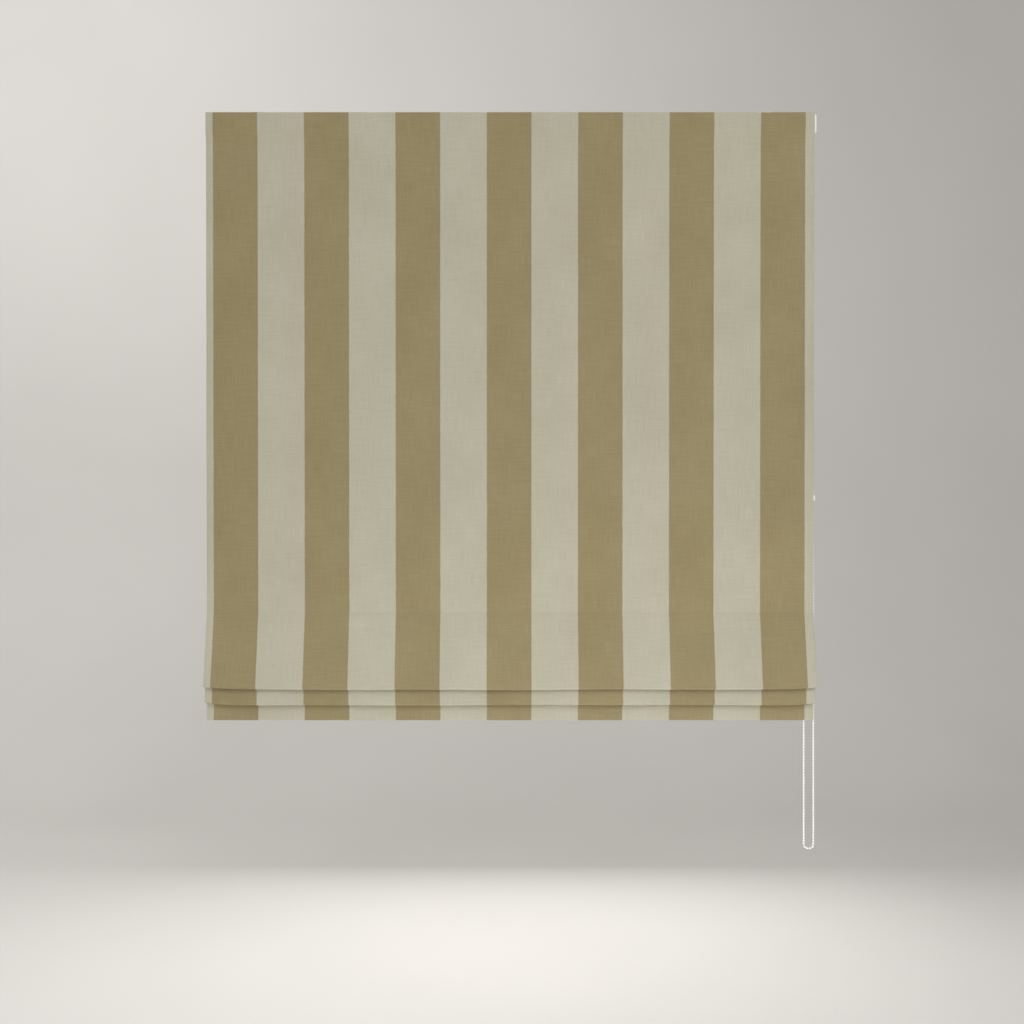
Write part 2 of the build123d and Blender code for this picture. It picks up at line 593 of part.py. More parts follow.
def cross_slot(y, z):
    depth = HOUSING_RIGHT - SCREW_HEAD_HEIGHT * 0.7
    half = SCREW_SLOT_HALF
    long = SCREW_HEAD_RADIUS * 0.57
    tall = block(depth, HOUSING_RIGHT + 1, y - half, y + half, z - long, z + long)
    return tall + block(depth, HOUSING_RIGHT + 1, y - long, y + long, z - half, z + half)


def sprocket():
    """Bead wheel: round pockets on the pitch circle and a slot between them for the thread."""
    left = CHAIN_X - SPROCKET_HALF
    right = CHAIN_X + SPROCKET_HALF
    wheel = bar_x(PITCH_RADIUS + SPROCKET_EDGE, left, right, SHAFT_Y, SHAFT_Z)
    wheel = chamfer(wheel.edges().filter_by(GeomType.CIRCLE), 0.5)
    slot_floor = PITCH_RADIUS - BEAD_RADIUS - THREAD_SLOT_HALF / 2
    slot = bar_x(PITCH_RADIUS + 3, CHAIN_X - THREAD_SLOT_HALF, CHAIN_X + THREAD_SLOT_HALF, SHAFT_Y, SHAFT_Z)
    wheel -= slot - bar_x(slot_floor, CHAIN_X - 2, CHAIN_X + 2, SHAFT_Y, SHAFT_Z)
    for index in range(SPROCKET_POCKETS):
        y, z = bead_place(index)
        wheel -= Pos(CHAIN_X, y, z) * Sphere(BEAD_RADIUS + POCKET_ROOM)
    wheel += bar_x(SLEEVE_RADIUS, HOUSING_LEFT + 1, left, SHAFT_Y, SHAFT_Z)
    wheel += bar_x(SLEEVE_RADIUS, right, COVER_X - 4, SHAFT_Y, SHAFT_Z)
    return wheel - square_x(SHAFT_SIZE + SHAFT_CLEARANCE, HOUSING_LEFT, HOUSING_RIGHT)


def bead_place(index):
    """(y, z) of one bead on the wheel's pitch circle."""
    angle = 2 * math.pi * index / SPROCKET_POCKETS
    return SHAFT_Y + PITCH_RADIUS * math.cos(angle), SHAFT_Z + PITCH_RADIUS * math.sin(angle)


def chain_on_wheel():
    """Beads of the chain that lie in the wheel's upper pockets, joined by their thread."""
    upper = range(SPROCKET_POCKETS // 2 + 1)
    beads = [Pos(CHAIN_X, *bead_place(index)) * Sphere(BEAD_RADIUS) for index in upper]
    start = (CHAIN_X, *bead_place(0))
    middle = (CHAIN_X, SHAFT_Y, SHAFT_Z + PITCH_RADIUS)
    end = (CHAIN_X, *bead_place(SPROCKET_POCKETS // 2))
    line = ThreePointArc(start, middle, end)
    thread = sweep(Plane(line @ 0, z_dir=line % 0) * Circle(CHAIN_THREAD_RADIUS), path=line)
    for bead in beads:
        thread += bead
    return thread


def brake_spring():
    """Wrap spring that grips the fixed core and holds the blind where it is left."""
    radius = CORE_RADIUS + SPRING_EASE + SPRING_WIRE
    pitch = 2 * SPRING_WIRE + SPRING_EASE
    line = Helix(pitch=pitch, height=SPRING_TURNS * pitch, radius=radius, center=(0, 0, 0), direction=(0, 0, 1))
    coil = sweep(Plane(line @ 0, z_dir=line % 0) * Circle(SPRING_WIRE), path=line)
    return Pos(HOUSING_LEFT + 3.2, SHAFT_Y, SHAFT_Z) * Rot(0, 90, 0) * coil


def chain_points():
    """Middle line of the free chain loop, from the front hole of the housing round to the rear one."""
    front, back = chain_strands_y()
    top = SHAFT_Z - CHAIN_START
    straight_end = HOUSING_BOTTOM - CHAIN_STRAIGHT
    low = -CHAIN_DROP + BEAD_RADIUS
    left = CHAIN_X - PITCH_RADIUS
    right = CHAIN_X + PITCH_RADIUS
    return [
        (CHAIN_X, front, top), (CHAIN_X, front, straight_end), (left, SHAFT_Y, -CHAIN_SETTLED),
        (left, SHAFT_Y, low), (right, SHAFT_Y, low),
        (right, SHAFT_Y, -CHAIN_SETTLED), (CHAIN_X, back, straight_end), (CHAIN_X, back, top),
    ]


def chain():
    """The free chain as a plain tube, from the housing's front hole round to its rear one."""
    turn = PITCH_RADIUS * 0.96
    gentle = CHAIN_TURN_RADIUS
    line = FilletPolyline(*chain_points(), radius=[gentle, gentle, turn, turn, gentle, gentle])
    tube = sweep(Plane(line @ 0, z_dir=line % 0) * Circle(BEAD_RADIUS), path=line)
    expected = math.pi * BEAD_RADIUS ** 2 * line.length
    print(f"chain: length {line.length:.1f} mm, volume ratio {tube.volume / expected:.4f}")
    return tube


def chain_connector():
    """Split barrel that joins the chain's two ends, on the rear strand."""
    right = CHAIN_X + PITCH_RADIUS
    middle = -CHAIN_SETTLED - CONNECTOR_BELOW_TURN
    half = CONNECTOR_LENGTH / 2
    barrel = bar_z(CONNECTOR_RADIUS, right, SHAFT_Y, middle - half, middle + half)
    barrel = fillet(barrel.edges().filter_by(GeomType.CIRCLE), 0.8)
    return barrel - bar_z(BEAD_RADIUS + RUNNING_CLEARANCE, right, SHAFT_Y, middle - half - 1, middle + half + 1)


# ---------------------------------------------------------------- battens
def batten(index):
    return bar_x(BATTEN_RADIUS, -BATTEN_END, BATTEN_END, batten_y(index), batten_z(index))


def batten_pocket(index):
    """Woven tape sewn to the lining, closed round the batten."""
    y, z = batten_y(index), batten_z(index)
    end = BATTEN_END - POCKET_SHORT
    front = y - POCKET_OUTER_RADIUS
    tube = bar_x(POCKET_OUTER_RADIUS, -end, end, y, z)
    tube += block(-end, end, front, front + POCKET_FLAP_THICKNESS, z - POCKET_FLAP, z)
    return tube - bar_x(POCKET_INNER_RADIUS, -end - 1, end + 1, y, z)


def batten_caps(index):
    """Push-on caps over the batten's two ends."""
    y, z = batten_y(index), batten_z(index)
    caps = []
    for side in (-1, 1):
        mouth = BATTEN_END + CAP_END - CAP_LENGTH
        cap = bar_x(CAP_RADIUS, side * mouth, side * (BATTEN_END + CAP_END), y, z)
        outer = cap.edges().filter_by(GeomType.CIRCLE).sort_by(Axis.X)[0 if side < 0 else -1]
        cap = fillet(outer, CAP_RADIUS / 3)
        caps.append(cap - bar_x(BATTEN_RADIUS, side * (mouth - 1), side * BATTEN_END, y, z))
    return Compound(caps)


def cord_guide(x, index):
    """Clip round the batten pocket with an eye behind it for the lift cord."""
    y, z = batten_y(index), batten_z(index)
    half = GUIDE_LENGTH / 2
    inner = POCKET_OUTER_RADIUS + GUIDE_EASE
    outer = inner + GUIDE_WALL
    clip = bar_x(outer, x - half, x + half, y, z)
    clip -= bar_x(inner, x - half - 1, x + half + 1, y, z)
    clip -= block(x - half - 1, x + half + 1, y - outer - 1, y - GUIDE_OPENING, z - outer - 1, z + outer + 1)
    eye_y = y + EYE_BEHIND_BATTEN
    eye = bar_z(EYE_RADIUS, x, eye_y, z - GUIDE_HEIGHT / 2, z + GUIDE_HEIGHT / 2)
    eye -= bar_x(inner, x - half, x + half, y, z)
    return clip + eye - bar_z(EYE_HOLE_RADIUS, x, eye_y, z - GUIDE_HEIGHT, z + GUIDE_HEIGHT)


def cord_guides(index):
    return Compound([cord_guide(x, index) for x in CORD_PLACES])


def lift_cord(x):
    """Hanging part of one lift cord, from its drum through the guides to the lowest batten."""
    last = BATTEN_COUNT - 1
    points = [(x, CORD_START_Y, CORD_START_Z)]
    for index in (0, FLAT_BATTENS - 1):
        points.append((x, batten_y(index) + EYE_BEHIND_BATTEN, batten_z(index)))
    points.append((x, batten_y(last) + EYE_BEHIND_BATTEN, CORD_END_Z))
    line = FilletPolyline(*points, radius=[CORD_BEND_RADIUS, CORD_BEND_RADIUS])
    return sweep(Plane(line @ 0, z_dir=line % 0) * Circle(CORD_RADIUS), path=line)


def cord_toggles():
    """Small barrels that stop the cords under the lowest guides."""
    y = batten_y(BATTEN_COUNT - 1) + EYE_BEHIND_BATTEN
    toggles = []
    for x in CORD_PLACES:
        toggle = bar_z(TOGGLE_RADIUS, x, y, CORD_END_Z - TOGGLE_LENGTH, CORD_END_Z)
        toggles.append(fillet(toggle.edges().filter_by(GeomType.CIRCLE), 0.3 * TOGGLE_RADIUS))
    return Compound(toggles)


def bar_length(x0, x1):
    """A stretch of the flat bar in the hem."""
    front = CLOTH_AT_STACK + FACE_THICKNESS + CLOTH_GAP
    low = HEM_BOTTOM + FACE_THICKNESS + BAR_ABOVE_HEM_FOLD
    bar = block(x0, x1, front, front + BAR_THICKNESS, low, low + HEM_HEIGHT - BAR_SHORT_OF_HEM)
    return fillet(bar.edges().filter_by(Axis.X), 0.8)


def bottom_bar():
    return bar_length(-BAR_END, BAR_END)


def bar_caps():
    return Compound([bar_length(side * BAR_END, side * (BAR_END + BAR_CAP_LENGTH)) for side in (-1, 1)])


# ---------------------------------------------------------------- write every node
def main():
    os.makedirs("parts", exist_ok=True)
    save("headrail", headrail())
    save("end_cap", end_cap())
    save("hook_tape", hook_tape())
    save("loop_tape", loop_tape())
    save("face_cloth", face_cloth())
    save("lining", lining())
    for index, x in enumerate(BRACKET_PLACES):
        save(f"bracket_{index + 1}", bracket(x))
        save(f"bracket_lever_{index + 1}", lever(x))
    save("bracket_rivets", Compound([rivet(x) for x in BRACKET_PLACES]))
    for index, x in enumerate(CORD_PLACES):
        save(f"cord_drum_{index + 1}", cord_drum(x))
        save(f"lift_cord_{index + 1}", lift_cord(x))
    save("drum_cradles", Compound([cradle(x) for x in CORD_PLACES]))
    save("cord_windings", Compound([winding(x) for x in CORD_PLACES]))
    save("drive_shaft", shaft())
    save("drive_housing", drive_housing())
    save("drive_cover", drive_cover())
    save("cover_screws", cover_screws())
    save("chain_wheel", sprocket())
    save("chain_on_wheel", chain_on_wheel())
    save("brake_spring", brake_spring())
    save("bead_chain", chain())
    save("chain_connector", chain_connector())
    for index in range(BATTEN_COUNT):
        save(f"batten_{index + 1}", batten(index))
        save(f"batten_pocket_{index + 1}", batten_pocket(index))
        save(f"batten_caps_{index + 1}", batten_caps(index))
        save(f"cord_guides_{index + 1}", cord_guides(index))
    save("cord_toggles", cord_toggles())
    save("bottom_bar", bottom_bar())
    save("bar_caps", bar_caps())


main()
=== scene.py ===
"""Striped roman blind on a chain-driven headrail, hanging partly raised.

Lengths are metres in the part's own frame: X runs along the rail, -Y faces the room, +Z is up, and z = 0 is the face
that the brackets are screwed to.  The cloth is made as panels between its battens.
"""
import json
import logging
import math
from dataclasses import dataclass
from enum import Enum

import bpy
import numpy as np
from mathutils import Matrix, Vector

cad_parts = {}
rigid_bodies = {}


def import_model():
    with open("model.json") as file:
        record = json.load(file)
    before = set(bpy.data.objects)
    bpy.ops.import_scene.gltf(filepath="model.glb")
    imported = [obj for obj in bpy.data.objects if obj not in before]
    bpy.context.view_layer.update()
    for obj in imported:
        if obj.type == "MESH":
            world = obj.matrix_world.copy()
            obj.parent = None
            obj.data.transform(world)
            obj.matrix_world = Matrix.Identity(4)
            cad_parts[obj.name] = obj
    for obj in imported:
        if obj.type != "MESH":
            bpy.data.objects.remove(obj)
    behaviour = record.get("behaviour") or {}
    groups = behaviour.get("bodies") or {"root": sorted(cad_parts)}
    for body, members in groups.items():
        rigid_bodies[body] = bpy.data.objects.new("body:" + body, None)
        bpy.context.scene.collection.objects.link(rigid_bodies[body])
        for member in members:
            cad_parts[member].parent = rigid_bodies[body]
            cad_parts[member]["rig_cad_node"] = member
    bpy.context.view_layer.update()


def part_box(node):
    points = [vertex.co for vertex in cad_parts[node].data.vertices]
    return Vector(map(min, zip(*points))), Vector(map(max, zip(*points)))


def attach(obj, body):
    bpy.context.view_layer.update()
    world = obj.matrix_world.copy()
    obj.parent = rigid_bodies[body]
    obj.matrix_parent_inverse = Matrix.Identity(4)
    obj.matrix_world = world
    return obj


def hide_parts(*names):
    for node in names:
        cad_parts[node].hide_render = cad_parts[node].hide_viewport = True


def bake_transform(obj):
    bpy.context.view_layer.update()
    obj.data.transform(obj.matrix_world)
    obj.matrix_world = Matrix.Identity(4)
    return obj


log = logging.getLogger("roman_blind")

MM = 0.001
ROWS = range(1, 7)  # the battens, counted from the top
CORDS = range(1, 5)


# ---------------------------------------------------------------- small tools
def linear(colour: str) -> tuple[float, float, float, float]:
    """Turn an sRGB colour such as "#c0b090" into linear light.

    Args:
        colour: Six hex digits after a hash.

    Returns:
        Red, green, blue and an alpha of one.
    """
    parts = [int(colour[i : i + 2], 16) / 255 for i in (1, 3, 5)]
    light = [c / 12.92 if c <= 0.04045 else ((c + 0.055) / 1.055) ** 2.4 for c in parts]
    return (*light, 1.0)


def add_node(tree: bpy.types.NodeTree, kind: str, inputs: dict | None = None, **settings) -> bpy.types.Node:
    """Add a node with its settings and links.

    Args:
        tree: The material's node tree.
        kind: The node's type name.
        inputs: Socket name or number to a plain value, or to the socket that feeds it.
        **settings: The node's own properties.

    Returns:
        The new node.
    """
    node = tree.nodes.new(kind)
    for name, value in settings.items():
        setattr(node, name, value)
    for key, value in (inputs or {}).items():
        if isinstance(value, bpy.types.NodeSocket):
            tree.links.new(value, node.inputs[key])
        else:
            node.inputs[key].default_value = value
    return node


def calc(tree: bpy.types.NodeTree, operation: str, *values: float | bpy.types.NodeSocket) -> bpy.types.NodeSocket:
    """Add one arithmetic node.

    Args:
        tree: The material's node tree.
        operation: What it does.
        *values: Its inputs in order, each a plain number or the socket that feeds it.

    Returns:
        The result's socket.
    """
    return add_node(tree, "ShaderNodeMath", dict(enumerate(values)), operation=operation).outputs[0]


def set_inputs(node: bpy.types.Node, values: dict[str, float]) -> None:
    """Set a node's inputs by name."""
    for name, value in values.items():
        node.inputs[name].default_value = value


def mesh_piece(name: str, points: np.ndarray, faces: np.ndarray, uvs: np.ndarray | None = None) -> bpy.types.Object:
    """Make a mesh object at the origin.

    Args:
        name: The piece's name.
        points: One row of x, y, z for each vertex.
        faces: One row of vertex numbers for each face.
        uvs: One row of u, v for each vertex, if the piece has a pattern that follows it.

    Returns:
        The new object.
    """
    mesh = bpy.data.meshes.new(name)
    mesh.from_pydata(points.tolist(), [], faces.tolist())
    if uvs is not None:
        layer = mesh.uv_layers.new(name="UVMap")
        corners = np.empty(len(mesh.loops), dtype=np.int64)
        mesh.loops.foreach_get("vertex_index", corners)
        layer.data.foreach_set("uv", uvs[corners].astype(np.float32).ravel())
    mesh.validate()
    piece = bpy.data.objects.new(name, mesh)
    bpy.context.scene.collection.objects.link(piece)
    return piece


def select_only(piece: bpy.types.Object) -> None:
    """Make one piece the only selected and the active one."""
    bpy.ops.object.select_all(action="DESELECT")
    piece.select_set(True)
    bpy.context.view_layer.objects.active = piece


def apply_modifier(piece: bpy.types.Object, kind: str, **settings) -> None:
    """Add a modifier to a piece and apply it.

    Args:
        piece: The object to change.
        kind: The modifier's type name.
        **settings: The modifier's own properties.
    """
    select_only(piece)
    modifier = piece.modifiers.new(kind.title(), kind)
    for name, value in settings.items():
        setattr(modifier, name, value)
    bpy.ops.object.modifier_apply(modifier=modifier.name)


# ---------------------------------------------------------------- finishes
@dataclass(frozen=True)
class Finish:
    """What a surface is made of and how it was made; each kind of finish paints its own nodes."""

    name: str
    slot: str

    def material(self) -> bpy.types.Material:
        """Give the finish's material, made once and then shared."""
        found = bpy.data.materials.get(self.name)
        if found is not None:
            return found
        material = bpy.data.materials.new(self.name)
        material.use_nodes = True
        self.paint(material.node_tree, material.node_tree.nodes["Principled BSDF"])
        return material

    def paint(self, tree: bpy.types.NodeTree, shader: bpy.types.Node) -> None:
        """Set the shader and add the nodes that feed it."""
        raise NotImplementedError

    def object_place(self, tree: bpy.types.NodeTree) -> bpy.types.NodeSocket:
        """Coordinates in the piece's own frame."""
        return add_node(tree, "ShaderNodeTexCoord").outputs["Object"]

    def sheet_place(self, tree: bpy.types.NodeTree) -> bpy.types.NodeSocket:
        """Coordinates along the flat sheet or round the cord."""
        return add_node(tree, "ShaderNodeUVMap", uv_map="UVMap").outputs[0]

    def vary_roughness(self, tree: bpy.types.NodeTree, shader: bpy.types.Node, pattern: bpy.types.NodeSocket,
                       low: float, high: float) -> None:
        """Run the roughness from low to high with a pattern."""
        rough = add_node(tree, "ShaderNodeMapRange", {"Value": pattern, "To Min": low, "To Max": high})
        tree.links.new(rough.outputs[0], shader.inputs["Roughness"])

    def let_through(self, tree: bpy.types.NodeTree, shader: bpy.types.Node, colour: bpy.types.NodeSocket,
                    share: float) -> None:
        """Let a share of the light through the cloth, in its colour."""
        through = add_node(tree, "ShaderNodeBsdfTranslucent", {"Color": colour})
        both = add_node(tree, "ShaderNodeMixShader", {0: share, 1: shader.outputs[0], 2: through.outputs[0]})
        tree.links.new(both.outputs[0], tree.nodes["Material Output"].inputs["Surface"])

    def bump(self, tree: bpy.types.NodeTree, shader: bpy.types.Node, height: bpy.types.NodeSocket,
             depth: float, strength: float) -> None:
        """Feed a height pattern to the shader's normal.

        Args:
            tree: The material's node tree.
            shader: The node whose normal it feeds.
            height: The pattern, from 0 to 1.
            depth: How deep the pattern is, in metres.
            strength: Share of the pattern that shows.
        """
        node = add_node(tree, "ShaderNodeBump", {"Height": height, "Distance": depth, "Strength": strength})
        tree.links.new(node.outputs["Normal"], shader.inputs["Normal"])

    def grain(self, tree: bpy.types.NodeTree, place: bpy.types.NodeSocket,
              size: tuple[float, float, float]) -> bpy.types.NodeSocket:
        """Soft random pattern.

        Args:
            tree: The material's node tree.
            place: The coordinates that it follows.
            size: Length of one patch along each axis, in metres.

        Returns:
            A socket with values about 0.5.
        """
        scaled = add_node(tree, "ShaderNodeVectorMath", {0: place, 1: tuple(1 / s for s in size)},
                          operation="MULTIPLY")
        noise = add_node(tree, "ShaderNodeTexNoise", {"Vector": scaled.outputs[0], "Scale": 1.0, "Detail": 2.0})
        return noise.outputs["Fac"]

    def tinted(self, tree: bpy.types.NodeTree, pattern: bpy.types.NodeSocket, low: str, high: str,
               spread: float = 0.25) -> bpy.types.NodeSocket:
        """Colour that runs from low to high as the pattern passes its middle.

        Args:
            tree: The material's node tree.
            pattern: A socket with values about 0.5.
            low: sRGB colour under the middle.
            high: sRGB colour over it.
            spread: How far each side of 0.5 the colours are reached.

        Returns:
            The colour's socket.
        """
        share = add_node(tree, "ShaderNodeMapRange",
                         {"Value": pattern, "From Min": 0.5 - spread, "From Max": 0.5 + spread})
        mix = add_node(tree, "ShaderNodeMix", {0: share.outputs[0], 6: linear(low), 7: linear(high)},
                       data_type="RGBA")
        return mix.outputs[2]


@dataclass(frozen=True)
class StripedCotton(Finish):
    """Yarn-dyed cotton in wide stripes: matt, with slubs along both threads and edges a thread wide."""

    dark: str = "#a1936c"
    dark_slub: str = "#b1a37d"
    pale: str = "#c6c1ab"
    pale_slub: str = "#d4d0bd"
    period: float = 0.180
    dark_width: float = 0.088
    centre: float = -0.002
    edge: float = 0.0009
    thread: float = 0.0022  # a real thread is 0.5 mm, too fine to show, so it is drawn this coarse
    slub_length: float = 0.045
    shine_through: float = 0.3
    contrast: float = 0.16
    wander: float = 0.0008  # how far a stripe's edge strays to each side

    def paint(self, tree: bpy.types.NodeTree, shader: bpy.types.Node) -> None:
        """Set the shader and add the nodes that feed it."""
        place = self.sheet_place(tree)
        across, along = self.threads(tree, place)
        height = calc(tree, "MULTIPLY_ADD", calc(tree, "MULTIPLY", across, along), 0.5, 0.5)
        warp = self.grain(tree, place, (self.thread, self.slub_length, 1.0))
        weft = self.grain(tree, place, (self.slub_length, self.thread, 1.0))
        cloud = self.grain(tree, place, (0.11, 0.16, 1.0))
        slub = calc(tree, "MULTIPLY", calc(tree, "ADD", calc(tree, "ADD", warp, weft), cloud), 1 / 3)
        dark = self.tinted(tree, slub, self.dark, self.dark_slub, self.contrast)
        pale = self.tinted(tree, slub, self.pale, self.pale_slub, self.contrast)
        colour = add_node(tree, "ShaderNodeMix", {0: self.stripe(tree, place), 6: pale, 7: dark}, data_type="RGBA")
        tree.links.new(colour.outputs[2], shader.inputs["Base Color"])
        set_inputs(shader, {"Roughness": 0.92, "Specular IOR Level": 0.25, "Sheen Weight": 0.12})
        self.bump(tree, shader, calc(tree, "MULTIPLY_ADD", height, 0.5, slub), 0.0005, 0.5)
        self.let_through(tree, shader, colour.outputs[2], self.shine_through)

    def threads(self, tree: bpy.types.NodeTree, place: bpy.types.NodeSocket) -> tuple:
        """Two waves, one across the warp and one across the weft, each from -1 to 1."""
        parts = add_node(tree, "ShaderNodeSeparateXYZ", {0: place})
        return tuple(calc(tree, "SINE", calc(tree, "MULTIPLY", parts.outputs[axis], 2 * math.pi / self.thread))
                     for axis in (0, 1))

    def stripe(self, tree: bpy.types.NodeTree, place: bpy.types.NodeSocket) -> bpy.types.NodeSocket:
        """Share of the dark yarn: one within a dark stripe and none outside it."""
        stray = self.grain(tree, place, (0.5, 0.012, 1.0))
        parts = add_node(tree, "ShaderNodeSeparateXYZ", {0: place})
        start = self.centre + self.period / 2
        nudge = calc(tree, "MULTIPLY_ADD", stray, 2 * self.wander, -self.wander - start)
        within = calc(tree, "FLOORED_MODULO", calc(tree, "ADD", parts.outputs[0], nudge), self.period)
        away = calc(tree, "ABSOLUTE", calc(tree, "SUBTRACT", within, self.period / 2))
        half = self.dark_width / 2
        share = add_node(tree, "ShaderNodeMapRange", {
            "Value": away, "From Min": half - self.edge, "From Max": half + self.edge,
            "To Min": 1.0, "To Max": 0.0}, interpolation_type="SMOOTHSTEP")
        return share.outputs[0]


@dataclass(frozen=True)
class PlainCloth(Finish):
    """Plain woven cotton or polyester: matt, with an even thread and faint clouding."""

    low: str = "#d8d3c4"
    high: str = "#e6e2d6"
    thread: float = 0.0011
    shine_through: float = 0.25
    on_sheet: bool = False
    slub_length: float = 0.03

    def paint(self, tree: bpy.types.NodeTree, shader: bpy.types.Node) -> None:
        """Set the shader and add the nodes that feed it."""
        thread, slub = self.thread, self.slub_length
        if self.on_sheet:
            place = self.sheet_place(tree)
            sizes = ((thread, slub, 1.0), (slub, thread, 1.0))
        else:
            place = self.object_place(tree)
            sizes = ((thread, thread, slub), (slub, slub, thread))
        warp, weft = (self.grain(tree, place, size) for size in sizes)
        cloud = self.grain(tree, place, (0.06, 0.06, 0.08))
        half = calc(tree, "MULTIPLY", calc(tree, "ADD", warp, weft), 0.5)
        both = add_node(tree, "ShaderNodeMix", {0: 0.35, 2: half, 3: cloud})
        colour = self.tinted(tree, both.outputs[0], self.low, self.high, 0.2)
        tree.links.new(colour, shader.inputs["Base Color"])
        set_inputs(shader, {"Roughness": 0.9, "Specular IOR Level": 0.3, "Sheen Weight": 0.1})
        self.bump(tree, shader, half, 0.0003, 0.6)
        if self.shine_through:
            self.let_through(tree, shader, colour, self.shine_through)


@dataclass(frozen=True)
class PowderCoat(Finish):
    """Powder coated aluminium: satin white, with the fine orange peel that the powder leaves."""

    low: str = "#e4e4e0"
    high: str = "#edede9"
    peel: float = 0.0016

    def paint(self, tree: bpy.types.NodeTree, shader: bpy.types.Node) -> None:
        """Set the shader and add the nodes that feed it."""
        place = self.object_place(tree)
        cloud = self.grain(tree, place, (0.09, 0.02, 0.02))
        tree.links.new(self.tinted(tree, cloud, self.low, self.high), shader.inputs["Base Color"])
        self.vary_roughness(tree, shader, cloud, 0.34, 0.44)
        peel = self.grain(tree, place, (self.peel, self.peel, self.peel))
        self.bump(tree, shader, peel, 0.00008, 0.5)


@dataclass(frozen=True)
class DrawnMetal(Finish):
    """Extruded aluminium or plated steel: bright metal with fine lines along the way it was drawn."""

    low: str = "#b4b6b8"
    high: str = "#cdcfd0"
    line: float = 0.0004
    run: float = 0.06
    roughness: float = 0.32

    def paint(self, tree: bpy.types.NodeTree, shader: bpy.types.Node) -> None:
        """Set the shader and add the nodes that feed it."""
        place = self.object_place(tree)
        lines = self.grain(tree, place, (self.run, self.line, self.line))
        cloud = self.grain(tree, place, (0.02, 0.02, 0.02))
        both = add_node(tree, "ShaderNodeMix", {0: 0.5, 2: lines, 3: cloud})
        tree.links.new(self.tinted(tree, both.outputs[0], self.low, self.high), shader.inputs["Base Color"])
        shader.inputs["Metallic"].default_value = 1.0
        self.vary_roughness(tree, shader, both.outputs[0], self.roughness - 0.06, self.roughness + 0.1)
        self.bump(tree, shader, lines, 0.00004, 0.5)


@dataclass(frozen=True)
class MouldedPlastic(Finish):
    """Injection moulded plastic: even colour with a fine spark-eroded grain from the tool."""

    low: str = "#e2e2dd"
    high: str = "#ebebe6"
    roughness: float = 0.42
    grit: float = 0.0006

    def paint(self, tree: bpy.types.NodeTree, shader: bpy.types.Node) -> None:
        """Set the shader and add the nodes that feed it."""
        place = self.object_place(tree)
        cloud = self.grain(tree, place, (0.015, 0.015, 0.015))
        tree.links.new(self.tinted(tree, cloud, self.low, self.high), shader.inputs["Base Color"])
        self.vary_roughness(tree, shader, cloud, self.roughness - 0.05, self.roughness + 0.05)
        shader.inputs["IOR"].default_value = 1.53
        grit = self.grain(tree, place, (self.grit, self.grit, self.grit))
        self.bump(tree, shader, grit, 0.00003, 0.5)


@dataclass(frozen=True)
class ClearPlastic(Finish):
    """Polished clear polycarbonate, with the slight haze that thick mouldings have."""

    low: str = "#e6e9e6"
    high: str = "#f2f4f2"
    roughness: float = 0.12
    clearness: float = 0.75

    def paint(self, tree: bpy.types.NodeTree, shader: bpy.types.Node) -> None:
        """Set the shader and add the nodes that feed it."""
        haze = self.grain(tree, self.object_place(tree), (0.002, 0.002, 0.002))
        tree.links.new(self.tinted(tree, haze, self.low, self.high), shader.inputs["Base Color"])
        self.vary_roughness(tree, shader, haze, self.roughness - 0.05, self.roughness + 0.08)
        set_inputs(shader, {"IOR": 1.58, "Transmission Weight": self.clearness})


@dataclass(frozen=True)
class GlassRod(Finish):
    """Pultruded fibreglass rod: off-white, with glass strands that run along it."""

    low: str = "#d3d2c2"
    high: str = "#e4e3d6"

    def paint(self, tree: bpy.types.NodeTree, shader: bpy.types.Node) -> None:
        """Set the shader and add the nodes that feed it."""
        strands = self.grain(tree, self.object_place(tree), (0.05, 0.0005, 0.0005))
        tree.links.new(self.tinted(tree, strands, self.low, self.high), shader.inputs["Base Color"])
        shader.inputs["Roughness"].default_value = 0.38
        self.bump(tree, shader, strands, 0.00005, 0.5)


@dataclass(frozen=True)
class BraidedCord(Finish):
    """Braided polyester: two sets of strands that cross as they wind round the cord, with painted shade: the grooves
    between the strands are coloured darker than the strand crowns.
    """

    # painted shade: low colours the grooves between strands, high the strand crowns
    low: str = "#c9c7bd"
    high: str = "#f0efe8"
    strands: float = 6.0
    lay: float = 0.0045

    def paint(self, tree: bpy.types.NodeTree, shader: bpy.types.Node) -> None:
        """Set the shader and add the nodes that feed it."""
        parts = add_node(tree, "ShaderNodeSeparateXYZ", {0: self.sheet_place(tree)})
        around = calc(tree, "MULTIPLY", parts.outputs[0], 2 * math.pi * self.strands)
        along = calc(tree, "MULTIPLY", parts.outputs[1], 2 * math.pi / self.lay)
        waves = [calc(tree, "SINE", calc(tree, sign, around, along)) for sign in ("ADD", "SUBTRACT")]
        height = calc(tree, "MULTIPLY_ADD", calc(tree, "MAXIMUM", *waves), 0.5, 0.5)
        # painted shade: the colour follows the braid's height, darker in the grooves between strands and lighter on
        # their crowns
        tree.links.new(self.tinted(tree, height, self.low, self.high, 0.5), shader.inputs["Base Color"])
        set_inputs(shader, {"Roughness": 0.75, "Sheen Weight": 0.2})
        self.bump(tree, shader, height, 0.00015, 0.7)


@dataclass(frozen=True)
class PaintedPlaster(Finish):
    """Plain matt wall and floor."""

    low: str = "#d2cfcb"
    high: str = "#d6d3cf"

    def paint(self, tree: bpy.types.NodeTree, shader: bpy.types.Node) -> None:
        """Set the shader and add the nodes that feed it."""
        cloud = self.grain(tree, self.object_place(tree), (0.8, 0.8, 0.8))
        tree.links.new(self.tinted(tree, cloud, self.low, self.high), shader.inputs["Base Color"])
        shader.inputs["Roughness"].default_value = 0.95


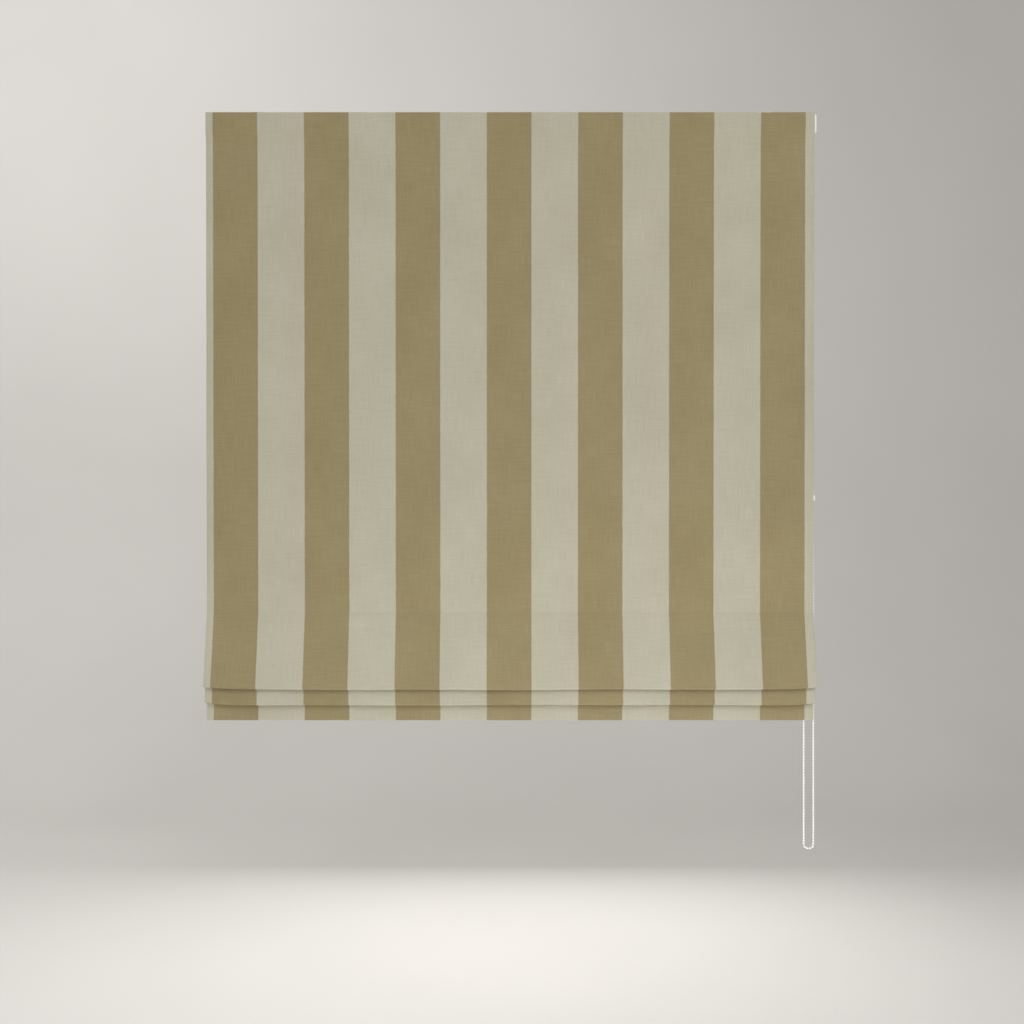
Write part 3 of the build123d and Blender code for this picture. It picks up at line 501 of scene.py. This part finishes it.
STRIPED_COTTON = StripedCotton("striped_cotton", "face_cloth")
COTTON_LINING = PlainCloth("cotton_lining", "lining_cloth", on_sheet=True)
WOVEN_TAPE = PlainCloth("woven_tape", "woven_tape", "#dcdbd3", "#efeee8", 0.0008, 0.0)
WOUND_CORD = PlainCloth("wound_cord", "lift_cord", "#c9c7bd", "#f0efe8", 0.0012, 0.0)
SEWING_THREAD = PlainCloth("sewing_thread", "woven_tape", "#dedcd2", "#f4f3ec", 0.0004, 0.0)
WHITE_ENAMEL = PowderCoat("white_enamel", "white_enamel")
MILL_ALUMINIUM = DrawnMetal("mill_aluminium", "mill_aluminium")
ZINC_PLATE = DrawnMetal("zinc_plate", "zinc_steel", "#a3a6aa", "#c2c5c8", 0.0007, 0.012, 0.36)
WHITE_PLASTIC = MouldedPlastic("white_plastic", "white_plastic")
NYLON = MouldedPlastic("nylon", "nylon", "#cfcdc0", "#dcdacf", 0.5, 0.0008)
CHAIN_PLASTIC = MouldedPlastic("chain_plastic", "chain_plastic", "#e3e4e2", "#f0f1ef", 0.22, 0.0005)
CLEAR_PLASTIC = ClearPlastic("clear_plastic", "clear_plastic")
FIBREGLASS = GlassRod("fibreglass", "fibreglass")
LIFT_CORD = BraidedCord("lift_cord", "lift_cord")
PLASTER = PaintedPlaster("plaster", "plaster")


def dress(piece: bpy.types.Object, finish: Finish) -> None:
    """Give a new piece its finish.

    Args:
        piece: The object to dress.
        finish: What it is made of.
    """
    piece.data.materials.clear()
    piece.data.materials.append(finish.material())


def dress_node(name: str, finish: Finish) -> None:
    """Give a carried-over node its finish in its own material slots."""
    node = frame_nodes()[name]
    for material_slot in node.material_slots:
        material_slot.material = finish.material()


def frame_nodes() -> dict:
    """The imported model's nodes by name."""
    return {o["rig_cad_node"]: o for o in bpy.context.scene.objects if "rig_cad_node" in o}


def middle_of(name: str) -> Vector:
    """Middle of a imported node's box."""
    low, high = (Vector(corner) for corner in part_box(name))
    return (low + high) / 2


# ---------------------------------------------------------------- cloth
@dataclass(frozen=True)
class Bend:
    """A corner of the cloth's path in the YZ plane; a named one is where panels meet, at the end of its arc."""

    y: float
    z: float
    radius: float = 0.0
    name: str = ""


@dataclass(frozen=True)
class Station:
    """A point of the sampled path: its place, its distance from the top edge and the way to the lining."""

    y: float
    z: float
    run: float
    toward_lining: tuple[float, float]


@dataclass
class ClothPath:
    """The face cloth's outer surface, from its top edge over the folds to the turned-up hem."""

    face: float = 0.8 * MM
    lining: float = 0.5 * MM
    gap: float = 0.3 * MM
    below_rail_y: float = -16.5 * MM
    below_rail: float = 2 * MM
    rail_radius: float = 20 * MM
    plane_top: float = -62 * MM
    plane_radius: float = 40 * MM
    soft_radius: float = 12 * MM
    first_reach: float = 30.5 * MM
    reach_step: float = 13 * MM
    fold_width: float = 7 * MM
    fold_radius: float = 3.3 * MM
    knee: float = 6 * MM
    lower_knee: float = 0.9  # share of the way down to its batten
    crease_width: float = 1.4 * MM
    crease_radius: float = 0.5 * MM
    hem_height: float = 32 * MM
    hem_depth: float = 3 * MM
    hem_inner_radius: float = 0.6 * MM
    lining_above_hem: float = 4 * MM
    batten_behind_front: float = 4.7 * MM
    spacing: float = 9 * MM
    arc_step: float = math.radians(12)
    first_lift: float = 136 * MM
    lift: float = 236 * MM

    def __post_init__(self) -> None:
        """Read the places of battens, rail and hem from the frame and sample the path."""
        self.battens = [middle_of(f"batten_{number}").yz for number in ROWS]
        low, high = (Vector(corner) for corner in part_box("face_cloth"))
        self.top, self.bottom = high.z, low.z
        self.rail_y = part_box("loop_tape")[0][1] - self.gap - self.face - self.gap - self.lining
        self.rail_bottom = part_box("headrail")[0][2]
        self.stack_y = self.battens[-1].x - self.batten_behind_front
        self.half_width = high.x
        self.stations, self.marks = self.sampled(self.bends())

    def bends(self) -> list[Bend]:
        """The path's corners from the top edge to the end of the hem."""
        path = [
            Bend(self.rail_y, self.top, name="top"),
            Bend(self.rail_y, self.rail_bottom - self.below_rail, self.rail_radius),
            Bend(self.below_rail_y, self.plane_top, self.plane_radius),
        ]
        for index in range(4):
            lift = self.first_lift if index == 0 else self.lift
            turn = self.battens[index].y + lift / 2
            path.append(Bend(self.plane_y(turn), turn, name=f"fall_{index + 1}"))
            radius = self.soft_radius if index == 3 else 0.0
            path.append(Bend(self.plane_y(self.battens[index].y), self.battens[index].y, radius,
                             f"batten_{index + 1}"))
        drop = (self.battens[2].y - self.battens[4].y) / 2
        for index in (0, 1):
            above, below = self.battens[3 + index].y, self.battens[4 + index].y
            front = self.stack_y - self.first_reach + index * self.reach_step
            if index:
                knee_z = above - (above - below) * self.lower_knee
                path.append(Bend(self.stack_y - self.knee, knee_z, self.soft_radius))
            path += [
                Bend(front, above - drop, self.fold_radius),
                Bend(front + self.fold_width, above - drop, self.fold_radius, f"fold_{index + 1}"),
                Bend(self.stack_y - self.crease_width, below, self.crease_radius, f"batten_{index + 5}"),
                Bend(self.stack_y, below, self.crease_radius),
            ]
        hem_back = self.stack_y + self.hem_depth + 2 * (self.gap + self.face)
        hem_radius = self.face + self.hem_inner_radius
        path += [
            Bend(self.stack_y, self.bottom + self.hem_height + self.lining_above_hem, name="lining_end"),
            Bend(self.stack_y, self.bottom, hem_radius),
            Bend(hem_back, self.bottom, hem_radius),
            Bend(hem_back, self.bottom + self.hem_height, name="end"),
        ]
        return path

    def plane_y(self, z: float) -> float:
        """Front of the cloth at a height where it hangs flat."""
        share = (self.plane_top - z) / (self.plane_top - self.battens[3].y)
        return self.below_rail_y + share * (self.stack_y - self.below_rail_y)

    def sampled(self, bends: list[Bend]) -> tuple[list[Station], dict[str, int]]:
        """Turn the corners into points along straight runs and arcs.

        Args:
            bends: The path's corners.

        Returns:
            The stations, and the station number of each named corner.
        """
        points: list[Vector] = []
        marks: dict[str, int] = {}
        for index, bend in enumerate(bends):
            here = Vector((bend.y, bend.z))
            arc = [here]
            if bend.radius and 0 < index < len(bends) - 1:
                arc = self.arc(bends[index - 1], bend, bends[index + 1])
            if points:
                gap = (arc[0] - points[-1]).length
                steps = max(1, math.ceil(gap / self.spacing))
                start = points[-1].copy()
                points += [start.lerp(arc[0], step / steps) for step in range(1, steps)]
            points += arc
            if bend.name:
                marks[bend.name] = len(points) - 1
        line = np.array([tuple(point) for point in points])
        steps = np.diff(line, axis=0)
        lengths = np.linalg.norm(steps, axis=1)
        runs = np.concatenate([[0.0], np.cumsum(lengths)])
        sides = np.stack([-steps[:, 1], steps[:, 0]], axis=1) / lengths[:, None]
        normals = np.vstack([sides[:1], sides[:-1] + sides[1:], sides[-1:]])
        normals /= np.linalg.norm(normals, axis=1)[:, None]
        stations = [Station(y, z, run, tuple(n)) for (y, z), run, n in zip(line, runs, normals)]
        return stations, marks

    def arc(self, before: Bend, bend: Bend, after: Bend) -> list[Vector]:
        """Points of the arc that rounds one corner."""
        here = Vector((bend.y, bend.z))
        came = (here - Vector((before.y, before.z))).normalized()
        goes = (Vector((after.y, after.z)) - here).normalized()
        turn = came.angle(goes)
        reach = bend.radius * math.tan(turn / 2)
        side = 1 if came.x * goes.y - came.y * goes.x > 0 else -1
        start = here - came * reach
        centre = start + Vector((-came.y, came.x)) * side * bend.radius
        spoke = start - centre
        steps = max(2, math.ceil(turn / self.arc_step))
        points = []
        for step in range(steps + 1):
            angle = side * turn * step / steps
            cos, sin = math.cos(angle), math.sin(angle)
            points.append(centre + Vector((spoke.x * cos - spoke.y * sin, spoke.x * sin + spoke.y * cos)))
        return points


class Layer(Enum):
    """The blind's two layers of cloth."""

    FACE = "face_cloth"
    LINING = "lining"


@dataclass(frozen=True)
class Span:
    """The cloth between two named corners, and the bodies that it hangs between."""

    name: str
    start: str
    end: str
    above: str
    below: str = ""


@dataclass
class Cloth:
    """Face cloth and lining, as one panel of each for every span."""

    path: ClothPath
    side_hem: float = 22 * MM
    column: float = 12 * MM
    ripple: float = 0.55 * MM
    end_lift: float = 5 * MM
    end_lift_width: float = 28 * MM
    fold_sag: float = 0.9 * MM

    def spans(self) -> list[Span]:
        """Every span from the top edge down."""
        spans = []
        corner, body = "top", "rail"
        for number in range(1, 5):
            below = f"batten_row_{number}"
            spans.append(Span(f"panel_{number}", corner, f"fall_{number}", body))
            spans.append(Span(f"panel_{number}_lower", f"fall_{number}", f"batten_{number}", body, below))
            corner, body = f"batten_{number}", below
        for number in (1, 2):
            below = f"batten_row_{number + 4}"
            spans.append(Span(f"fold_{number}_front", corner, f"fold_{number}", body))
            spans.append(Span(f"fold_{number}_back", f"fold_{number}", f"batten_{number + 4}", body, below))
            corner, body = f"batten_{number + 4}", below
        spans.append(Span("bottom_panel", corner, "end", body))
        return spans

    def build(self) -> None:
        """Make, dress and hang every panel of both layers."""
        for layer in Layer:
            for span in self.spans():
                piece = self.panel(layer, span)
                self.hang(piece, span)
                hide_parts(layer.value)
                # The back of a fold is striped on both sides, because its room side shows once the fold is let down.
                striped = layer is Layer.FACE or span.name.endswith("back")
                dress(piece, STRIPED_COTTON if striped else COTTON_LINING)

    def ends(self, layer: Layer, span: Span) -> tuple[int, int]:
        """First and last station of a layer's panel; the lining stops above the hem."""
        end = "lining_end" if layer is Layer.LINING and span.end == "end" else span.end
        return self.path.marks[span.start], self.path.marks[end]

    def columns(self, layer: Layer) -> list[tuple[float, float, float]]:
        """Section across the cloth as (x, depth behind the front, distance along the cloth from its middle)."""
        path = self.path
        if layer is Layer.LINING:
            half, depth = path.half_width - self.side_hem, path.face + path.gap + path.lining / 2
            count = round(half / self.column)
            return [(half * i / count, depth, half * i / count) for i in range(-count, count + 1)]
        front = path.face / 2
        back = path.face + path.gap + path.face / 2
        radius = (back - front) / 2
        edge = path.half_width - path.face / 2 - radius
        count = round(edge / self.column)
        half = [(edge * i / count, front, edge * i / count) for i in range(1, count + 1)]
        for step in (1, 2, 3):
            angle = math.pi * step / 4
            half.append((edge + radius * math.sin(angle), front + radius * (1 - math.cos(angle)),
                         edge + radius * angle))
        turned = edge + math.pi * radius
        for step in (0, 1, 2):
            inward = self.side_hem * step / 2
            half.append((edge - inward, back, turned + inward))
        left = [(-x, depth, -run) for x, depth, run in reversed(half)]
        return [*left, (0.0, front, 0.0), *half]

    def panel(self, layer: Layer, span: Span) -> bpy.types.Object:
        """Make one panel as a thick sheet with its flat place as its UV map.

        Args:
            layer: Face cloth or lining.
            span: Where it starts and ends.

        Returns:
            The new piece.
        """
        first, last = self.ends(layer, span)
        stations = self.path.stations[first : last + 1]
        columns = self.columns(layer)
        points, uvs = [], []
        for station in stations:
            for x, depth, across in columns:
                out, up = self.drape(x, station)
                ny, nz = station.toward_lining
                points.append((x, station.y + ny * (depth - out), station.z + nz * (depth - out) + up))
                uvs.append((across, station.run))
        wide = len(columns)
        rows = np.arange(len(stations) - 1)[:, None] * wide
        corner = (rows + np.arange(wide - 1)[None, :]).ravel()
        faces = np.stack([corner, corner + wide, corner + wide + 1, corner + 1], axis=1)
        piece = mesh_piece(f"{layer.name.lower()}_{span.name}", np.array(points), faces, np.array(uvs))
        thickness = self.path.face if layer is Layer.FACE else self.path.lining
        apply_modifier(piece, "SOLIDIFY", thickness=thickness, offset=0.0)
        select_only(piece)
        bpy.ops.object.shade_smooth_by_angle(angle=math.radians(50))
        return piece

    def drape(self, x: float, station: Station) -> tuple[float, float]:
        """How far the cloth stands out from its path, and up from it, at one point."""
        path = self.path
        lines = [path.top] + [batten.y for batten in path.battens]
        for high, low in zip(lines, lines[1:]):
            if low <= station.z <= high:
                above = math.sin(math.pi * (high - station.z) / (high - low)) ** 2
                break
        else:
            above = 0.0
        wave = math.sin(x / 0.113 + station.run * 3.1) + 0.7 * math.sin(x / 0.041 - station.run * 5.3 + 1.0)
        out = self.ripple * above * (1.0 + 0.6 * wave)
        up = 0.0
        for number in (1, 2):
            bottom = path.stations[path.marks[f"fold_{number}"]]
            near = max(0.0, 1 - abs(station.run - bottom.run) / 0.11)
            share = near * near * (3 - 2 * near)
            edge = math.exp(-(path.half_width - abs(x)) / self.end_lift_width)
            sway = math.sin(x / 0.083 + number * 2.0) * math.sin(x / 0.191 + number)
            up += share * (self.end_lift * edge - self.fold_sag * sway)
        return out, up

    def hang(self, piece: bpy.types.Object, span: Span) -> None:
        """Make a panel ride with the body above it; a panel that joins two bodies is left fixed where it stands."""
        if not span.below:
            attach(piece, span.above)
            return
        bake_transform(piece)


@dataclass
class PocketStitches:
    """Lockstitch that holds each batten pocket to the lining."""

    length: float = 3.0 * MM
    pitch: float = 3.6 * MM
    thick: float = 0.5 * MM
    below_batten: float = 6.5 * MM
    end_margin: float = 6 * MM
    inset: float = 0.6 * MM

    def build(self) -> None:
        """Sew a row of stitches along every pocket's flap."""
        for number in ROWS:
            low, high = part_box(f"batten_pocket_{number}")
            batten_low, batten_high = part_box(f"batten_{number}")
            z = (batten_low[2] + batten_high[2]) / 2 - self.below_batten
            y = low[1] + self.inset
            start = low[0] + self.end_margin
            count = int((high[0] - low[0] - 2 * self.end_margin) / self.pitch)
            bpy.ops.object.select_all(action="DESELECT")
            bpy.ops.mesh.primitive_cylinder_add(vertices=6, radius=self.thick / 2, depth=self.length,
                                                location=(start, y, z), rotation=(0, math.pi / 2, 0))
            piece = bpy.context.object
            piece.name = piece.data.name = f"pocket_stitches_{number}"
            bpy.ops.object.transform_apply(location=True, rotation=True, scale=True)
            bpy.ops.object.mode_set(mode="EDIT")
            bpy.ops.mesh.select_all(action="SELECT")
            bpy.ops.mesh.bevel(offset=self.thick * 0.3, segments=1)
            bpy.ops.object.mode_set(mode="OBJECT")
            apply_modifier(piece, "ARRAY", count=count, use_relative_offset=False, use_constant_offset=True,
                           constant_offset_displace=(self.pitch, 0, 0))
            dress(piece, SEWING_THREAD)
            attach(piece, f"batten_row_{number}")
        log.info("pocket stitches: %d in a row", count)


# ---------------------------------------------------------------- cords and chain
def tube(points: np.ndarray, radius: float, sides: int) -> tuple[np.ndarray, np.ndarray, np.ndarray]:
    """Tube along a line that runs mostly up and down.

    Args:
        points: The line's points.
        radius: Radius of the tube.
        sides: How many faces it has round it.

    Returns:
        Its vertices, faces and UVs; u goes once round, and v is the distance along it in metres.
    """
    steps = np.gradient(points, axis=0)
    steps /= np.linalg.norm(steps, axis=1)[:, None]
    first = np.cross(steps, (0.0, 1.0, 0.0))
    first /= np.linalg.norm(first, axis=1)[:, None]
    second = np.cross(steps, first)
    angles = np.linspace(0, 2 * math.pi, sides + 1)
    runs = np.concatenate([[0.0], np.cumsum(np.linalg.norm(np.diff(points, axis=0), axis=1))])
    rings = (points[:, None] + radius * (np.cos(angles)[None, :, None] * first[:, None]
                                         + np.sin(angles)[None, :, None] * second[:, None]))
    vertices = rings.reshape(-1, 3)
    wide = sides + 1
    corner = (np.arange(len(points) - 1)[:, None] * wide + np.arange(sides)[None, :]).ravel()
    faces = np.stack([corner, corner + 1, corner + wide + 1, corner + wide], axis=1)
    uvs = np.stack(np.broadcast_arrays(angles[None, :] / (2 * math.pi), runs[:, None]), axis=-1).reshape(-1, 2)
    return vertices, faces, uvs


@dataclass
class LiftCords:
    """The four lift cords, each as a run from one batten's eye to the next."""

    radius: float = 0.6 * MM
    sides: int = 8
    steps: int = 24
    eye_behind_batten: float = 5.2 * MM
    start_y: float = -1.1 * MM
    start_z: float = -18.6 * MM
    below_guide: float = 3.4 * MM

    def build(self) -> None:
        """Make every run, fixed where it stands."""
        eyes = []
        for number in ROWS:
            middle = middle_of(f"batten_{number}")
            eyes.append((middle.y + self.eye_behind_batten, middle.z))
        eyes[-1] = (eyes[-1][0], eyes[-1][1] - self.below_guide)
        above = (self.start_y, self.start_z)
        body = "rail"
        for number, eye in enumerate(eyes, start=1):
            piece = self.run(number, above, eye)
            below = f"batten_row_{number}"
            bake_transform(piece)
            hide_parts(*(f"lift_cord_{cord}" for cord in CORDS))
            dress(piece, LIFT_CORD)
            above, body = eye, below
        log.info("lift cords: %d runs of four", len(eyes))

    def run(self, number: int, above: tuple[float, float], below: tuple[float, float]) -> bpy.types.Object:
        """One run of all four cords between two heights, as (y, z)."""
        share = np.linspace(0, 1, self.steps)[:, None]
        vertices, faces, uvs = [], [], []
        for cord in CORDS:
            low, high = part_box(f"lift_cord_{cord}")
            x = (low[0] + high[0]) / 2
            line = (1 - share) * np.array((x, *above)) + share * np.array((x, *below))
            points, rings, places = tube(line, self.radius, self.sides)
            faces.append(rings + sum(len(v) for v in vertices))
            vertices.append(points)
            uvs.append(places)
        piece = mesh_piece(f"lift_cord_run_{number}", np.vstack(vertices), np.vstack(faces), np.vstack(uvs))
        select_only(piece)
        bpy.ops.object.shade_smooth()
        return piece


@dataclass
class BeadChain:
    """The looped bead chain: beads on a thread, from the drive's front hole round to its rear one."""

    bead_radius: float = 2.25 * MM
    thread_radius: float = 0.6 * MM
    pitch: float = 6 * MM
    length: float = 2.877
    exit: tuple[float, float, float] = (0.5935, -0.00555, -0.037)
    route: tuple = (
        (0.5935, -0.00555, -0.024), (0.5935, -0.00555, -0.057), (0.58395, 0.004, -0.7),
        (0.58395, 0.004, -1.43765), (0.58395, 0.004, -1.45675), (0.60305, 0.004, -1.45675),
        (0.60305, 0.004, -1.43765), (0.60305, 0.004, -0.7), (0.5935, 0.01355, -0.057),
        (0.5935, 0.01355, -0.024),
    )

    def centreline(self) -> np.ndarray:
        """Points along the route's smooth spline."""
        curve = bpy.data.curves.new("chain_route", "CURVE")
        curve.dimensions = "3D"
        curve.resolution_u = 64
        spline = curve.splines.new("NURBS")
        spline.points.add(len(self.route) - 1)
        for point, place in zip(spline.points, self.route):
            point.co = (*place, 1.0)
        spline.order_u = 3
        spline.use_endpoint_u = True
        holder = bpy.data.objects.new("chain_route", curve)
        bpy.context.scene.collection.objects.link(holder)
        mesh = bpy.data.meshes.new_from_object(holder.evaluated_get(bpy.context.evaluated_depsgraph_get()))
        points = np.array([tuple(vertex.co) for vertex in mesh.vertices])
        bpy.data.objects.remove(holder)
        bpy.data.meshes.remove(mesh)
        return points

    def bead(self) -> tuple[np.ndarray, np.ndarray]:
        """One bead, flattened a little at its thread holes."""
        bpy.ops.object.select_all(action="DESELECT")
        bpy.ops.mesh.primitive_ico_sphere_add(subdivisions=2, radius=self.bead_radius, location=(0, 0, 0))
        pattern = bpy.context.object
        bpy.ops.object.mode_set(mode="EDIT")
        bpy.ops.mesh.select_all(action="SELECT")
        bpy.ops.transform.resize(value=(1.0, 1.0, 0.97))
        bpy.ops.object.mode_set(mode="OBJECT")
        points = np.array([tuple(vertex.co) for vertex in pattern.data.vertices])
        faces = np.array([tuple(face.vertices) for face in pattern.data.polygons])
        bpy.data.objects.remove(pattern)
        return points, faces

    def build(self) -> None:
        line = self.centreline()
        runs = np.concatenate([[0.0], np.cumsum(np.linalg.norm(np.diff(line, axis=0), axis=1))])
        count = round(runs[-1] / self.pitch)
        places = np.linspace(0, runs[-1], 2 * count + 1)
        even = np.stack([np.interp(places, runs, line[:, axis]) for axis in range(3)], axis=1)
        ball, ball_faces = self.bead()
        centres = even[1::2]
        vertices = (centres[:, None] + ball[None]).reshape(-1, 3)
        faces = (np.arange(count)[:, None, None] * len(ball) + ball_faces[None]).reshape(-1, 3)
        beads = mesh_piece("bead_chain_beads", vertices, faces)
        thread_points, thread_faces, _ = tube(even, self.thread_radius, 6)
        thread = mesh_piece("bead_chain_thread", thread_points, thread_faces)
        select_only(beads)
        thread.select_set(True)
        bpy.ops.object.join()
        bpy.ops.object.shade_smooth()
        beads.name = beads.data.name = "bead_chain_loop"
        dress(beads, CHAIN_PLASTIC)
        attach(beads, "rail")
        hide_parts("bead_chain")
        dress_node("chain_connector", CHAIN_PLASTIC)
        log.info("bead chain: %d beads, %.3f m", count, runs[-1])


# ---------------------------------------------------------------- carried-over hardware
@dataclass(frozen=True)
class Hardware:
    """The rail, brackets, drums, drive and battens as packed, each with its finish."""

    count_of_rows: int = len(ROWS)

    def dress(self) -> None:
        """Give every node that shows its finish."""
        finishes = {
            "headrail": WHITE_ENAMEL, "end_cap": WHITE_PLASTIC, "hook_tape": WOVEN_TAPE, "loop_tape": WOVEN_TAPE,
            "bracket_rivets": ZINC_PLATE, "drum_cradles": NYLON, "cord_windings": WOUND_CORD,
            "drive_shaft": ZINC_PLATE, "drive_housing": WHITE_PLASTIC, "drive_cover": WHITE_PLASTIC,
            "cover_screws": ZINC_PLATE, "chain_wheel": NYLON, "chain_on_wheel": CHAIN_PLASTIC,
            "brake_spring": ZINC_PLATE, "cord_toggles": CLEAR_PLASTIC, "bottom_bar": MILL_ALUMINIUM,
            "bar_caps": WHITE_PLASTIC,
        }
        for number in range(1, 4):
            finishes[f"bracket_{number}"] = ZINC_PLATE
            finishes[f"bracket_lever_{number}"] = WHITE_PLASTIC
        for number in CORDS:
            finishes[f"cord_drum_{number}"] = NYLON
        for number in range(1, self.count_of_rows + 1):
            finishes[f"batten_{number}"] = FIBREGLASS
            finishes[f"batten_pocket_{number}"] = WOVEN_TAPE
            finishes[f"batten_caps_{number}"] = CLEAR_PLASTIC
            finishes[f"cord_guides_{number}"] = CLEAR_PLASTIC
        for name, finish in finishes.items():
            dress_node(name, finish)
        log.info("hardware: %d nodes dressed", len(finishes))


# ---------------------------------------------------------------- studio
@dataclass(frozen=True)
class Lamp:
    """A square soft light: where it stands, what it faces, its side in metres and its power in watts."""

    name: str
    place: tuple[float, float, float]
    target: tuple[float, float, float]
    size: float
    power: float

    def build(self) -> None:
        """Add the light, hidden from the camera."""
        light = bpy.data.lights.new(self.name, "AREA")
        light.size = self.size
        light.energy = self.power
        holder = bpy.data.objects.new(self.name, light)
        holder.location = self.place
        holder.rotation_euler = (Vector(self.target) - Vector(self.place)).to_track_quat("-Z", "Y").to_euler()
        holder.visible_camera = False
        bpy.context.scene.collection.objects.link(holder)


LAMPS = (
    Lamp("key_light", (1.3, -3.2, 0.6), (0.1, 0, -0.7), 2.2, 62),
    Lamp("fill_light", (-2.4, -2.8, -0.2), (0, 0, -0.8), 2.6, 16),
    Lamp("sill_light", (0.1, -0.55, -1.9), (0, -0.02, -1.1), 1.3, 10),
    Lamp("window_light", (0.0, 1.58, -0.5), (0, 0, -0.5), 1.8, 34),
    Lamp("wall_light", (-2.6, 0.3, 2.2), (-1.4, 3.6, -0.8), 2.5, 90),
)


@dataclass
class Studio:
    """Pale floor and wall, soft lights and the camera."""

    camera_place: tuple[float, float, float] = (0.0037, -2.4095, -0.788)
    lens: float = 42.66
    sensor: float = 36.0
    floor_z: float = -1.95
    wall_y: float = 3.6  # farther off than a viewer who walks round the blind, at 2.51 m
    cove: float = 1.4
    cove_steps: int = 8
    half_room: float = 7.0
    sky: str = "#f3f2ef"
    sky_strength: float = 0.42

    def build(self) -> None:
        """Set up the stage, the lights and the camera."""
        self.backdrop()
        for lamp in LAMPS:
            lamp.build()
        world = bpy.data.worlds.new("studio")
        world.use_nodes = True
        background = world.node_tree.nodes["Background"]
        background.inputs["Color"].default_value = linear(self.sky)
        background.inputs["Strength"].default_value = self.sky_strength
        bpy.context.scene.world = world
        self.camera()
        bpy.context.scene.view_settings.view_transform = "Standard"

    def backdrop(self) -> None:
        """Floor that sweeps up into a wall behind the blind."""
        steps = [(-2 * self.half_room, self.floor_z)]
        for step in range(self.cove_steps + 1):
            angle = math.pi / 2 * step / self.cove_steps
            steps.append((self.wall_y - self.cove + self.cove * math.sin(angle),
                          self.floor_z + self.cove - self.cove * math.cos(angle)))
        steps.append((self.wall_y, self.half_room))
        points = np.array([(x, y, z) for y, z in steps for x in (-self.half_room, self.half_room)])
        corner = np.arange(len(steps) - 1) * 2
        faces = np.stack([corner, corner + 1, corner + 3, corner + 2], axis=1)
        stage = mesh_piece("backdrop", points, faces)
        select_only(stage)
        bpy.ops.object.shade_smooth()
        stage.data.materials.append(PLASTER.material())

    def camera(self) -> None:
        """Add the level camera that faces the middle of the blind."""
        lens = bpy.data.cameras.new("camera")
        lens.sensor_width = self.sensor
        lens.lens = self.lens
        holder = bpy.data.objects.new("camera", lens)
        holder.location = self.camera_place
        holder.rotation_euler = (math.pi / 2, 0, 0)
        bpy.context.scene.collection.objects.link(holder)
        bpy.context.scene.camera = holder


def corners(box: tuple) -> list[list[float]]:
    """A box's two corners as plain numbers."""
    return [[round(float(value), 5) for value in corner] for corner in box]


def main() -> None:
    """Build the blind around its frame."""
    logging.basicConfig(level=logging.INFO, format="%(name)s: %(message)s")
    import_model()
    Studio().build()
    BeadChain().build()
    Cloth(ClothPath()).build()
    LiftCords().build()
    PocketStitches().build()
    Hardware().dress()


if __name__ == "__main__":
    main()
